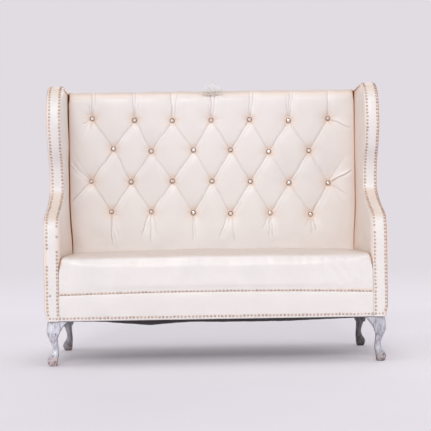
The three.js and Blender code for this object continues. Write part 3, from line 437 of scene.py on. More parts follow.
leather = leather_material()
timber = timber_material()
foam = foam_material()
webbing = woven_material("jute_webbing", colour(66, 56, 48), colour(142, 122, 98), 60, 0.0006, 0.9)
black_cloth = woven_material("black_cambric", colour(16, 13, 15), colour(58, 50, 54), 110, 0.0003, 0.85)
spring_steel = metal_material("spring_steel", colour(112, 114, 120), colour(58, 50, 46), 0.3, 40, 0.8)
# On nails the darker colour is for tarnished heads and for painted shade round their foot
nail_metal = metal_material("nickel_nail", colour(206, 192, 184), colour(150, 124, 112), 0.4, 70, 0.5, 0.6)
# On the crest the darker beige colour is partly tarnished silver and partly a painted reflection of the leather, and
# paints shade on the parts further back
silver = metal_material("silver", colour(230, 230, 230), colour(218, 207, 194), 0.45, 55, 0.4, 0.35)
rim_metal = metal_material("button_rim", colour(172, 146, 126), colour(98, 76, 62), 0.3, 120, 0.5)
crystal = crystal_material()
leg_paint = leg_material()
flax = twine_material()


def add_piece(name, points, faces, material, replaced=(), shade_and_tarnish=None, sharp=45, flat=False, fold=None):
    """A new piece in the row frame that rides on the frame's one body and stands for its CAD nodes."""
    mesh = bpy.data.meshes.new(name)
    mesh.from_pydata([tuple(point) for point in points], [], [tuple(face) for face in faces])
    work = bmesh.new()
    work.from_mesh(mesh)
    bmesh.ops.recalc_face_normals(work, faces=work.faces)
    work.to_mesh(mesh)
    work.free()
    if not flat:
        mesh.polygons.foreach_set("use_smooth", [True] * len(mesh.polygons))
        mesh.set_sharp_from_angle(angle=math.radians(sharp))
    # The first attribute holds painted shade, and on nails partly tarnished heads; fold holds painted grey shade along
    # pleat lines and, below zero, painted highlights
    for label, values in (("shade_and_tarnish", shade_and_tarnish), ("fold", fold)):
        if values is not None:
            attribute = mesh.attributes.new(label, "FLOAT", "POINT")
            attribute.data.foreach_set("value", np.asarray(values, np.float32))
    mesh.materials.append(material)
    made = bpy.data.objects.new(name, mesh)
    bpy.context.scene.collection.objects.link(made)
    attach(made, "root")
    if replaced:
        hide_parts(*replaced)
    return made


def grid_faces(rows, columns, start=0):
    """Four-cornered faces over a grid of points in rows."""
    across = np.arange(columns - 1)
    faces = []
    for row in range(rows - 1):
        near = start + row * columns + across
        faces.extend(np.stack([near, near + 1, near + columns + 1, near + columns], 1).tolist())
    return faces


def rim_of(rows, columns):
    """The indices of a grid's border, once round."""
    bottom = list(range(columns))
    right = [row * columns + columns - 1 for row in range(1, rows)]
    top = [(rows - 1) * columns + column for column in range(columns - 2, -1, -1)]
    left = [row * columns for row in range(rows - 2, 0, -1)]
    return bottom + right + top + left


def backed(front, place_behind):
    """Points and faces of a grid closed by walls and a rear face. place_behind gives the rear of a border point."""
    rows, columns = front.shape[:2]
    flat_points = front.reshape(-1, 3)
    rim = rim_of(rows, columns)
    behind = place_behind(flat_points[rim])
    start = len(flat_points)
    faces = grid_faces(rows, columns)
    for i, low in enumerate(rim):
        following = (i + 1) % len(rim)
        faces.append((low, rim[following], start + following, start + i))
    faces.append(tuple(range(start, start + len(rim))))
    return np.vstack([flat_points, behind]), faces


def lofted(rings):
    """Points and faces of closed rings joined in order, with flat ends."""
    rings = np.asarray(rings)
    count, size = rings.shape[:2]
    faces = []
    around = np.arange(size)
    for ring in range(count - 1):
        near = ring * size + around
        following = ring * size + (around + 1) % size
        faces.extend(np.stack([near, following, following + size, near + size], 1).tolist())
    faces.append(tuple(range(size)))
    faces.append(tuple(range((count - 1) * size, count * size)))
    return rings.reshape(-1, 3), faces


def spline(points, steps):
    """Points along a smooth curve through the given ones, evenly spread over them."""
    points = np.asarray(points, float)
    last = len(points) - 1
    places = np.linspace(0, last, steps + 1)
    index = np.minimum(places.astype(int), last - 1)
    t = (places - index)[:, None]
    p0, p1, p2, p3 = (points[np.clip(index + shift, 0, last)] for shift in (-1, 0, 1, 2))
    v0, v1 = (p2 - p0) / 2, (p3 - p1) / 2
    return (2 * p1 - 2 * p2 + v0 + v1) * t**3 + (-3 * p1 + 3 * p2 - 2 * v0 - v1) * t**2 + v0 * t + p1


def evenly(line, count):
    """A line resampled to a count of points, evenly spread along its length."""
    line = np.asarray(line, float)
    travelled = np.r_[0, np.cumsum(np.linalg.norm(np.diff(line, axis=0), axis=1))]
    places = np.linspace(0, travelled[-1], count)
    return np.stack([np.interp(places, travelled, line[:, i]) for i in range(line.shape[1])], 1)


def smoothstep(value, low, high):
    t = np.clip((np.asarray(value, float) - low) / (high - low), 0, 1)
    return t * t * (3 - 2 * t)


def ripples(seed, u, v, length, waves=14):
    """A smooth random field with bumps of about one length, between about -1 and 1."""
    source = np.random.default_rng(seed)
    total = np.zeros(np.broadcast(u, v).shape)
    for _ in range(waves):
        angle, phase = source.uniform(0, 2 * np.pi, 2)
        wave = length * source.uniform(0.7, 1.6)
        total += np.sin(2 * np.pi * (u * np.cos(angle) + v * np.sin(angle)) / wave + phase)
    return total / math.sqrt(waves)


def spread_over(coarse, rows, columns):
    """A coarse grid of vectors, spread smoothly over a finer one."""
    coarse_rows, coarse_columns = coarse.shape[:2]
    tall = spline(coarse.reshape(coarse_rows, -1), rows - 1).reshape(rows, coarse_columns, 3)
    wide = spline(tall.transpose(1, 0, 2).reshape(coarse_columns, -1), columns - 1)
    return wide.reshape(columns, rows, 3).transpose(1, 0, 2)


def swelling(grid, held, outward, strides, limit):
    """How far each point of a sheet of leather moves when its wadding presses it out, by cloth simulation.

    The sheet is a grid of points, held is 1 where it can't move, and the strides say which points are simulated.
    """
    coarse = grid[:: strides[0], :: strides[1]]
    faces = grid_faces(*coarse.shape[:2])
    facing = np.cross(np.gradient(coarse, axis=1), np.gradient(coarse, axis=0)).mean((0, 1)) @ np.array(outward)
    if facing < 0:
        faces = [face[::-1] for face in faces]
    mesh = bpy.data.meshes.new("sheet")
    mesh.from_pydata([tuple(point) for point in coarse.reshape(-1, 3)], [], [tuple(face) for face in faces])
    sheet = bpy.data.objects.new("sheet", mesh)
    bpy.context.scene.collection.objects.link(sheet)
    group = sheet.vertex_groups.new(name="held")
    for i, weight in enumerate(held[:: strides[0], :: strides[1]].ravel()):
        if weight > 0.01:
            group.add([i], float(min(weight, 1)), "REPLACE")
    cloth = sheet.modifiers.new("cloth", "CLOTH")
    cloth.settings.use_pressure = True
    cloth.settings.uniform_pressure_force = CLOTH_PRESSURE
    cloth.settings.effector_weights.gravity = 0
    cloth.settings.vertex_group_mass = "held"
    for step in range(1, CLOTH_STEPS + 1):
        bpy.context.scene.frame_set(step)
    skin = sheet.evaluated_get(bpy.context.evaluated_depsgraph_get()).data
    moved = np.array([vertex.co for vertex in skin.vertices]).reshape(coarse.shape)
    bpy.data.objects.remove(sheet)
    bpy.context.scene.frame_set(1)
    shift = moved - coarse
    length = np.linalg.norm(shift, axis=-1, keepdims=True)
    shift *= limit * np.tanh(length / limit) / np.maximum(length, 1e-9)
    return spread_over(shift, *grid.shape[:2])


def side_curve():
    """The curved part of the side edge, as depths from the arm's front and heights."""
    rise = WAIST_HEIGHT - ARM_FACE_HEIGHT
    arm = [(depth * WAIST_DEPTH, ARM_FACE_HEIGHT + share * rise) for depth, share in ARM_CURVE_SHARES]
    wing_rise = WING_HEIGHT - WAIST_HEIGHT
    wing = [(WAIST_DEPTH - reach * WING_REACH, WAIST_HEIGHT + share * wing_rise) for reach, share in WING_CURVE_SHARES]
    return spline(arm + wing, EDGE_STEPS)


def side_edge(inset, base, rear):
    """The side edge moved in by an inset, from a base height to a rear depth, as (depth, height) points."""
    curve = side_curve()
    whole = FRAME_REAR - FACE
    slope = WING_REAR_DROP / (whole - curve[-1][0])
    rear_height = WING_HEIGHT - slope * (rear - curve[-1][0])
    low = [(0, z) for z in np.arange(base, ARM_FACE_HEIGHT - 0.004, 0.008)]
    top = [(y, WING_HEIGHT - slope * (y - curve[-1][0])) for y in np.arange(curve[-1][0] + 0.008, rear - 0.004, 0.008)]
    line = np.vstack([low, curve, top, [(rear, rear_height)]])
    along = np.gradient(line, axis=0)
    along[0] = (0, 1)
    along[-1] = along[-2]
    along /= np.linalg.norm(along, axis=1)[:, None]
    moved = line + inset * np.stack([along[:, 1], -along[:, 0]], 1)
    moved[-1][0] = rear
    return moved


def tucked(x, z):
    """How the outer covers draw in to the leg at their lower edge, for places on the outer side."""
    share = 1 - smoothstep(z, COVER_BASE, COVER_BASE + TUCK_HEIGHT)
    outward = np.clip((np.abs(x) - PANEL_INNER) / (HALF_WIDTH - PANEL_INNER), 0, 1)
    return np.sign(x) * (np.abs(x) - TUCK_INSET * share**1.5 * outward)


def distance_to_line(points, line, closed=True):
    """The distance from each 2-D point to a line."""
    line = np.asarray(line)
    ends = np.roll(line, -1, axis=0) if closed else line[1:]
    starts = line if closed else line[:-1]
    nearest = np.full(len(points), np.inf)
    for start, end in zip(starts, ends):
        along = end - start
        t = np.clip((points - start) @ along / max(along @ along, 1e-12), 0, 1)
        nearest = np.minimum(nearest, np.linalg.norm(points - start - t[:, None] * along, axis=1))
    return nearest


def side_patch(inset, base, rear, columns, rows):
    """A grid of (depth, height) places inside the side edge, and each place's distance to its border."""
    edge = side_edge(inset, base, rear)
    corner = int(np.argmax(edge[:, 1] > 0.985 * WING_HEIGHT))
    spread = (1 - np.cos(np.linspace(0, np.pi, columns))) / 2
    climb = (1 - np.cos(np.linspace(0, np.pi, rows))) / 2
    climb = 0.75 * np.linspace(0, 1, rows) + 0.25 * climb
    front = evenly(edge[: corner + 1], 4 * rows)
    top = evenly(edge[corner:], 4 * columns)
    at = lambda line, shares: np.stack([np.interp(shares, np.linspace(0, 1, len(line)), line[:, i]) for i in (0, 1)], 1)
    left, upper = at(front, climb), at(top, spread)
    right = at(np.array([(rear, base), top[-1]]), climb)
    lower = at(np.array([front[0], (rear, base)]), spread)
    u, v = spread[None, :, None], climb[:, None, None]
    grid = (1 - u) * left[:, None] + u * right[:, None] + (1 - v) * lower[None] + v * upper[None]
    corners = (1 - u) * (1 - v) * front[0] + u * (1 - v) * lower[-1] + (1 - u) * v * top[0] + u * v * top[-1]
    grid = grid - corners
    outline = np.vstack([evenly(edge, 160), [(rear, base)]])
    distance = distance_to_line(grid.reshape(-1, 2), outline).reshape(rows, columns)
    return grid, distance


def rounded(distance, radius):
    """How far a face falls back near its border, so that its edge is round."""
    near = np.clip(1 - distance / radius, 0, 1)
    return radius * (1 - np.sqrt(np.clip(1 - near**2, 0, 1)))


def seam_bow(x):
    """How far the seam above the band is out of level at places along it."""
    return SEAM_BOW - SEAM_BOW_FALL * ((x - SEAM_BOW_CENTRE) / SEAM_BOW_REACH) ** 2


def pad_face(depth, height):
    """How far the inner sides stand from the middle. Above the arms their padding gets thinner to the rear."""
    return PAD_INNER + PAD_TAPER * smoothstep(depth, 0.05, 0.5) * smoothstep(height, 0.48, 0.72)


def front_panels():
    """The panels that edge the arms and wings, puffed between their two lines of nails."""
    line = side_edge(0, COVER_BASE, FRAME_REAR - FACE)
    line = evenly(line, 520)
    along = np.gradient(line, axis=0)
    along /= np.linalg.norm(along, axis=1)[:, None]
    out = np.stack([-along[:, 1], along[:, 0]], 1)
    travelled = np.r_[0, np.cumsum(np.linalg.norm(np.diff(line, axis=0), axis=1))]
    width = PANEL_OUTER - PANEL_INNER
    inner_nails, outer_nails = INNER_NAIL_INSET / width, 1 - OUTER_NAIL_INSET / width
    shares = np.linspace(0, 1, 33)
    edge_fall = rounded(shares * width, PANEL_ROUNDING) + 0.6 * rounded((1 - shares) * width, PANEL_OUTER_ROUNDING)
    for side, name in ((-1, "left"), (1, "right")):
        rings, shades_and_tarnish = [], []
        wrinkle = ripples(11 + side, travelled[:, None], shares[None] * width * 2, 0.05)
        for i, (place, outward) in enumerate(zip(line, out)):
            puff = PANEL_PUFF * np.sin(np.pi * np.clip((shares - inner_nails) / (outer_nails - inner_nails), 0, 1)) ** 0.6
            nail_phase = 0.5 + 0.5 * np.cos(2 * np.pi * travelled[i] / NAIL_PITCH)
            pinch = sum(np.exp(-((shares - nails) * width / 0.0035) ** 2) for nails in (inner_nails, outer_nails))
            height = puff - edge_fall - 0.0007 * pinch * (0.4 + 0.6 * nail_phase) + 0.0004 * wrinkle[i]
            top = place + height[:, None] * outward
            under = place - PANEL_THICKNESS * outward
            x = side * (PANEL_INNER + shares * width)
            face = np.stack([x, FACE + top[:, 0], top[:, 1]], 1)
            rear = np.array([(x[-1], FACE + under[0], under[1]), (x[0], FACE + under[0], under[1])])
            ring = np.vstack([face, rear])
            ring[:, 0] = tucked(ring[:, 0], ring[:, 2])
            rings.append(ring)
            # Painted shade: near the nails, along the rounded edges, darker at the outer edge (more on the right) and
            # over the top of the panel
            rim = smoothstep(shares, 0.90, 0.97) * (0.75 if side > 0 else 0.45)
            on_top = 0.3 * float(smoothstep(outward[1], 0.3, 0.9))
            shades_and_tarnish.append(np.r_[np.maximum(0.3 * pinch + 0.3 * (edge_fall > 0.001), rim) + on_top, 0, 0])
        points, faces = lofted(rings)
        piece = add_piece(
            f"panel_cover_{name}", points, faces, leather, [f"front_panel_{name}"], np.concatenate(shades_and_tarnish), 60,
        )


def side_pads():
    """The padded inner sides of the arms and wings."""
    grid, distance = side_patch(SIDE_PAD_NOSE, SEAM_HEIGHT + PIECE_GAP, PAD_REAR - FACE, 97, 131)
    depth, height = grid[..., 0], grid[..., 1]
    near_seat = (1 - smoothstep(height, 0.42, 0.45)) * (1 - smoothstep(depth, 0.0, 0.10))
    depth = depth + 0.013 * near_seat
    for side, name in ((-1, "left"), (1, "right")):
        fall = rounded(distance, SIDE_PAD_ROUNDING)
        puff = SIDE_PAD_PUFF * smoothstep(distance, 0.01, 0.09)
        wrinkle = 0.0009 * ripples(31 + side, depth, height * 0.6, 0.12) * smoothstep(distance, 0, 0.05)
        free = smoothstep(distance, 0.01, 0.05) * smoothstep(height, 0.49, 0.54) * (1 - smoothstep(depth, 0.50, 0.54))
        x = pad_face(depth, height) + fall - puff * 0.4 - wrinkle + SIDE_PAD_PUFF + PAD_START * free
        x = np.minimum(x, PAD_OUTER - 0.004)
        front = np.stack([side * x, FACE + depth, height], -1)
        front += swelling(front, 1 - free, (-side, 0, 0), PAD_STRIDES, PAD_SWELL)
        points, faces = backed(front, lambda rim: np.stack([np.full(len(rim), side * PAD_OUTER), rim[:, 1], rim[:, 2]], 1))
        # Painted peach shade on the inner sides, at the rear, low down (more on the left) and near the top; painted
        # brown shade in the joint with the back, deeper on the left; a little along the border
        warm = (0.05 if side < 0 else 0.13) + 0.16 * smoothstep(depth, 0.30, 0.56)
        warm = warm + (0.16 if side < 0 else 0.03) * (1 - smoothstep(height, 0.5, 0.75))
        warm = warm + 0.25 * smoothstep(height, WING_HEIGHT - 0.045, WING_HEIGHT - 0.012)
        joint = (0.85 if side < 0 else 0.4) * smoothstep(depth, 0.545, 0.562) * smoothstep(height, 0.45, 0.50)
        shade_and_tarnish = np.maximum(warm, joint) + 0.1 * (1 - smoothstep(distance, 0, 0.01))
        shade_and_tarnish = np.r_[shade_and_tarnish.ravel(), np.zeros(len(points) - front[..., 0].size)]
        piece = add_piece(
            f"inner_side_{name}", points, faces, leather, [f"inner_side_pad_{name}"], shade_and_tarnish, 60,
        )


def side_covers():
    """The outer side covers, drawn in at their lower edge."""
    grid, distance = side_patch(PANEL_THICKNESS + PIECE_GAP, COVER_BASE, FRAME_REAR - FACE, 100, 130)
    depth, height = grid[..., 0], grid[..., 1]
    for side, name in ((-1, "left"), (1, "right")):
        fall = rounded(distance, SIDE_COVER_ROUNDING)
        slack = 0.0022 * ripples(51 + side, depth, height * 0.7, 0.2) * smoothstep(distance, 0, 0.08)
        pulls = 0.0012 * np.exp(-((height - COVER_BASE) / 0.05) ** 2) * np.sin(2 * np.pi * depth / 0.055 + 0.8 * side)
        x = HALF_WIDTH - fall - 0.0016 + slack * 0.7 + pulls
        x = np.maximum(tucked(x, height), SIDE_COVER_INNER + 0.001)
        front = np.stack([side * x, FACE + depth, height], -1)
        inner = side * SIDE_COVER_INNER
        points, faces = backed(front, lambda rim: np.stack([np.full(len(rim), inner), rim[:, 1], rim[:, 2]], 1))
        # Darker and peach within a centimetre of the border
        shade_and_tarnish = np.r_[(0.5 * (1 - smoothstep(distance, 0, 0.010))).ravel(), np.zeros(len(points) - front[..., 0].size)]
        piece = add_piece(
            f"outer_side_{name}", points, faces, leather, [f"outer_side_cover_{name}"], shade_and_tarnish, 60,
        )


def outer_back():
    """The flat cover of the back, slightly slack between its tacked edges."""
    base, top = COVER_BASE, BACK_HEIGHT
    x = np.linspace(-HALF_WIDTH, HALF_WIDTH, 170)
    z = np.linspace(base, top, 120)
    across, up = np.meshgrid(x, z)
    distance = np.minimum.reduce([HALF_WIDTH - np.abs(across), up - base, top - up])
    fall = rounded(distance, 0.0045)
    slack = 0.0010 * ripples(71, across, up, 0.3) * smoothstep(distance, 0, 0.1)
    tacks = 0.0006 * np.sin(2 * np.pi * across / 0.05) * np.exp(-distance / 0.02)
    front = np.stack([tucked(across, up), BACK_FACE - fall - np.abs(slack) + tacks * 0.5 - 0.0003, up], -1)
    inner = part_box("outer_back_cover")[LOW].y
    points, faces = backed(front, lambda rim: np.stack([rim[:, 0], np.full(len(rim), inner), rim[:, 2]], 1))
    # Darker and peach within a few millimetres of the edges
    shade_and_tarnish = np.r_[(0.36 * (1 - smoothstep(distance, 0.001, 0.008))).ravel(), np.zeros(len(points) - across.size)]
    piece = add_piece("back_panel", points, faces, leather, ["outer_back_cover"], shade_and_tarnish, 60)


def seat():
    """The seat cover: crowned, rolled over the front, sat-in a little, and pulled down to the nail line."""
    rear = SEAT_REAR - FACE
    base = SEAM_HEIGHT + PIECE_GAP
    profile = evenly(spline([(depth * rear, base + rise * (SEAT_CROWN - base)) for depth, rise in SEAT_LINE_SHARES], 240), SEAT_ROWS)
    left_end, right_end = spline(SEAT_LEFT_SHARES, 200), spline(SEAT_RIGHT_SHARES, 200)
    even = np.linspace(-1, 1, SEAT_COLUMNS)
    shares = 0.35 * np.sin(np.pi / 2 * even) + 0.65 * even
    end_heights = np.where(
        shares < 0, np.interp(-shares, left_end[:, 0], left_end[:, 1]), np.interp(shares, right_end[:, 0], right_end[:, 1]),
    )
    floor = SEAT_PAD_BASE + 0.002
    size = (SEAT_ROWS, SEAT_COLUMNS)
    depth = np.broadcast_to(profile[:, 0][:, None], size).copy()
    height = np.broadcast_to(profile[:, 1][:, None], size).copy()
    above = np.clip(height - floor, 0, None)
    height = np.where(height > floor, floor + above * end_heights[None], height)
    x = np.broadcast_to(shares[None] * SEAT_HALF, size).copy()
    spread = (1 - smoothstep(depth, 0.009, 0.013)) * (1 - smoothstep(height, 0.405, 0.440))
    x = x + np.sign(x) * SEAT_FRONT_SPREAD * spread * smoothstep(np.abs(shares), 0.9, 1)[None]
    height = height + seam_bow(x) * (1 - smoothstep(height, base, base + 0.07))
    grid = np.stack([x, FACE + depth, height], -1)
    down = np.cross(np.gradient(grid, axis=1), np.gradient(grid, axis=0))
    normal = down / np.linalg.norm(down, axis=-1, keepdims=True)
    along = np.linspace(0, 1, SEAT_ROWS)[:, None]
    free = smoothstep(along, 0, 0.12) * (1 - smoothstep(along, 0.93, 1)) * (1 - smoothstep(np.abs(x), SEAT_HALF - 0.05, SEAT_HALF))
    sat = sum(np.exp(-((x - centre) / 0.2) ** 2 - ((depth - 0.31) / 0.17) ** 2) for centre in (-0.33, 0.33))
    relief = -SEAT_START * free - 0.005 * sat + 0.0016 * ripples(91, x, depth + height, 0.24) * free
    relief += 0.0006 * ripples(92, x * 1.6, (depth + height) * 0.6, 0.07) * free
    skirt = np.exp(-((height - base) / 0.016) ** 2) * (depth < 0.02)
    relief -= 0.0016 * skirt
    relief += 0.0006 * skirt * np.sin(2 * np.pi * x / NAIL_PITCH)
    for start, end, strength in (
        ((0.47, 0.455), (0.545, 0.350), 0.0015), ((0.52, 0.46), (0.585, 0.365), 0.0013),
        ((0.57, 0.455), (0.625, 0.380), 0.0011), ((-0.60, 0.445), (-0.655, 0.37), 0.0007),
    ):
        line = np.array([start, end])
        gap = distance_to_line(np.stack([x, height], -1).reshape(-1, 2), line, closed=False).reshape(x.shape)
        relief -= strength * np.exp(-(gap / 0.008) ** 2) * (depth < 0.06)
        relief += 0.6 * strength * np.exp(-((gap - 0.018) / 0.010) ** 2) * (depth < 0.06)
    grid += normal * relief[..., None] * np.where(normal[..., 2:] + -normal[..., 1:2] > 0, 1, -1)
    held = np.maximum(1 - smoothstep(along, 0.01, 0.05), smoothstep(along, 0.90, 0.97))
    held = np.maximum(held, smoothstep(np.abs(x), SEAT_HALF - 0.05, SEAT_HALF - 0.02))
    grid += swelling(grid, held, (0, -1, 1), SEAT_STRIDES, SEAT_SWELL)
    grid[..., 1] = np.minimum(grid[..., 1], SEAT_REAR)
    inner = np.array([(SEAT_REAR, SEAT_PAD_BASE), (FACE + SEAT_SKIRT_THICKNESS, SEAT_PAD_BASE), (FACE + SEAT_SKIRT_THICKNESS, base)])
    rings = []
    for column in range(SEAT_COLUMNS):
        under = np.column_stack([np.full(3, x[0, column]), inner])
        under[:2, 0] = shares[column] * SEAT_HALF
        under[2, 2] += seam_bow(x[0, column])
        rings.append(np.vstack([grid[:, column], under]))
    points, faces = lofted(rings)
    # Painted shade: dark just above the nail line, brown at the ends where the seat meets the sides (more on the left),
    # and over the top and near the rear
    dark = 0.3 * np.exp(-((height - base) / 0.006) ** 2) * (depth < 0.02)
    at_end = smoothstep(np.abs(x), SEAT_HALF - 0.012, SEAT_HALF) * smoothstep(height, 0.42, 0.45)
    on_top = smoothstep(profile[:, 1], base + 0.90 * (SEAT_CROWN - base), base + 0.985 * (SEAT_CROWN - base))[:, None]
    dark = dark + np.where(x < 0, 0.85, 0.6) * at_end + 0.2 * on_top + 0.12 * smoothstep(depth, rear - 0.015, rear)
    shade_and_tarnish = np.vstack([dark, np.zeros((3, SEAT_COLUMNS))]).T.ravel()
    rise = SEAT_CROWN - base
    # Painted grey over the top and over the roll, more on the right, which dulls the highlight there: painted shade
    roll = smoothstep(profile[:, 1], base + 0.74 * rise, base + 0.88 * rise)[:, None] * (1 - on_top)
    fold = 0.13 * on_top + (0.03 + 0.08 * smoothstep(x, 0, 0.5)) * roll
    fold = np.vstack([fold, np.zeros((3, SEAT_COLUMNS))]).T.ravel()
    piece = add_piece("seat_cushion", points, faces, leather, ["seat_cover"], shade_and_tarnish, 60, fold=fold)


def band():
    """The plain band below the seat, with a slight fullness between its two lines of nails."""
    low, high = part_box("front_band")
    x = np.linspace(low.x, high.x, 330)
    z = np.linspace(low.z, high.z, 34)
    across, up = np.meshgrid(x, z)
    share = (up - low.z) / (high.z - low.z)
    puff = 0.0046 * np.sin(np.pi * np.clip((share - 0.11) / 0.89, 0, 1) ** 1.8) ** 0.65
    distance = np.minimum(up - low.z, high.z - up)
    fall = rounded(distance, 0.003) + rounded(BAND_HALF - np.abs(across), 0.002)
    pinch = np.exp(-((up - low.z - BASE_NAIL_LIFT) / 0.004) ** 2) + np.exp(-((high.z - up) / 0.004) ** 2)
    scallop = 0.0005 * pinch * (1 + np.cos(2 * np.pi * across / NAIL_PITCH))
    slack = 0.0007 * ripples(101, across, up * 1.5, 0.13)
    up = up + seam_bow(across) * share
    front = np.stack([across, FACE - puff + fall + scallop - slack * smoothstep(distance, 0, 0.02) + 0.0008, up], -1)
    rear = high.y
    points, faces = backed(front, lambda rim: np.stack([rim[:, 0], np.full(len(rim), rear), rim[:, 2]], 1))
    # Painted shade along the two lines of nails
    shade_and_tarnish = np.r_[(0.25 * pinch).ravel(), np.zeros(len(points) - across.size)]
    piece = add_piece("seat_band", points, faces, leather, ["front_band"], shade_and_tarnish, 60)


# Where the buttons are, row by row from the top, and how far each one has been pulled out of line, in millimetres
BUTTON_DRIFTS = [
    [(-6, 12), (8, 3), (0, -2), (-3, -2), (-7, -2), (-8, -10), (-7, -2)],
    [(-1, 15), (-9, 2), (5, 4), (-6, 3), (-11, -9), (-6, -6)],
    [(-15, 10), (-13, 5), (-4, 6), (-3, 3), (-7, -1), (-10, -11), (-10, -15)],
    [(-15, 11), (-13, 9), (0, 1), (-10, -5), (-8, -6), (-2, -15)],
]
# The pleats that run down from each button of the lowest row: (across, down, depth) in millimetres
LOW_PLEATS = [
    [(-3, -150, 4.5), (12, -145, 3.0), (32, -120, 1.6)],
    [(-52, -118, 4.5), (-8, -150, 3.0), (28, -118, 2.0)],
    [(-4, -140, 2.6), (10, -125, 2.2)],
    [(-60, -122, 4.2), (16, -140, 2.2)],
    [(-40, -78, 4.0), (-10, -120, 3.2), (8, -120, 3.0)],
    [(26, -88, 3.4), (2, -100, 2.4), (-30, -60, 1.6)],
]
# The pleats that run up from each button of the top row, the same way
HIGH_PLEATS = [
    [(-1, 140, 3.4), (18, 140, 2.4), (-16, 70, 1.6)],
    [(-9, 140, 3.0), (6, 140, 3.4), (20, 90, 1.6)],
    [(-5, 140, 4.2), (27, 140, 3.2)],
    [(1, 140, 3.4), (23, 140, 3.2), (-14, 80, 1.4)],
    [(-1, 140, 3.4), (18, 140, 3.6)],
    [(-14, 120, 2.0), (4, 140, 3.2), (18, 140, 3.2)],
    [(-3, 140, 3.6), (12, 80, 2.2)],
]
# The pleats that run to the sides: (row, button, across, down, depth)
SIDE_PLEATS = [
    (0, 0, -56, -30, 2.6), (0, 0, -14, -50, 2.2), (0, 6, 112, -50, 2.8), (2, 0, -100, 98, 4.0), (2, 0, -100, -96, 4.0),
    (2, 6, 116, 58, 4.4), (2, 6, 96, -60, 1.8), (1, 5, 40, -80, 2.2), (3, 5, 30, 60, 1.8),
]


def button_rows():
    """The rows of buttons from the top: their regular places and how each has drifted."""
    rows = []
    for number, drifts in enumerate(BUTTON_DRIFTS, 1):
        low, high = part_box(f"button_row_{number}")
        height = (low.z + high.z) / 2
        count = len(drifts)
        places = [((i - (count - 1) / 2) * BUTTON_PITCH, height) for i in range(count)]
        rows.append([(np.array(place), np.array(drift) / 1000) for place, drift in zip(places, drifts)])
    return rows


def pleat_lines():
    """Every pleat as (start, end, depth, sharpness): from button to button, and from the outer ones to the edges."""
    rows = [[place for place, _ in row] for row in button_rows()]
    source = np.random.default_rng(5)
    lines = []
    for upper, lower in zip(rows, rows[1:]):
        for start in upper:
            for end in lower:
                if abs(start[0] - end[0]) < BUTTON_PITCH * 0.6:
                    leans_left = end[0] < start[0]
                    depth = source.uniform(0.0026, 0.0038) if leans_left else source.uniform(0.0016, 0.0024)
                    sharpness = source.uniform(0.55, 1) if leans_left else source.uniform(0.1, 0.35)
                    lines.append((start, end, depth, sharpness))
    for row, pleats, direction in ((rows[0], HIGH_PLEATS, 1), (rows[-1], LOW_PLEATS, -1)):
        for button, fan in zip(row, pleats):
            for across, down, depth in fan:
                start = button + np.array([across * 0.3, direction * 14]) / 1000
                lines.append((start, button + np.array([across, down]) / 1000, 0.7 * depth / 1000, depth / 5))
    for row, column, across, down, depth in SIDE_PLEATS:
        start = rows[row][column]
        lines.append((start, start + np.array([across, down]) / 1000, depth / 1000, depth / 5))
    return lines


def undrifted(x, z):
    """Places on the back moved to where they would be if every button were in line."""
    shift = np.zeros(x.shape + (2,))
    weight = np.full(x.shape, 0.02)
    for row in button_rows():
        for place, drift in row:
            near = np.exp(-((x - place[0] - drift[0]) ** 2 + (z - place[1] - drift[1]) ** 2) / (2 * 0.055**2))
            shift += near[..., None] * drift
            weight += near
    shift /= weight[..., None]
    return x - shift[..., 0], z - shift[..., 1]


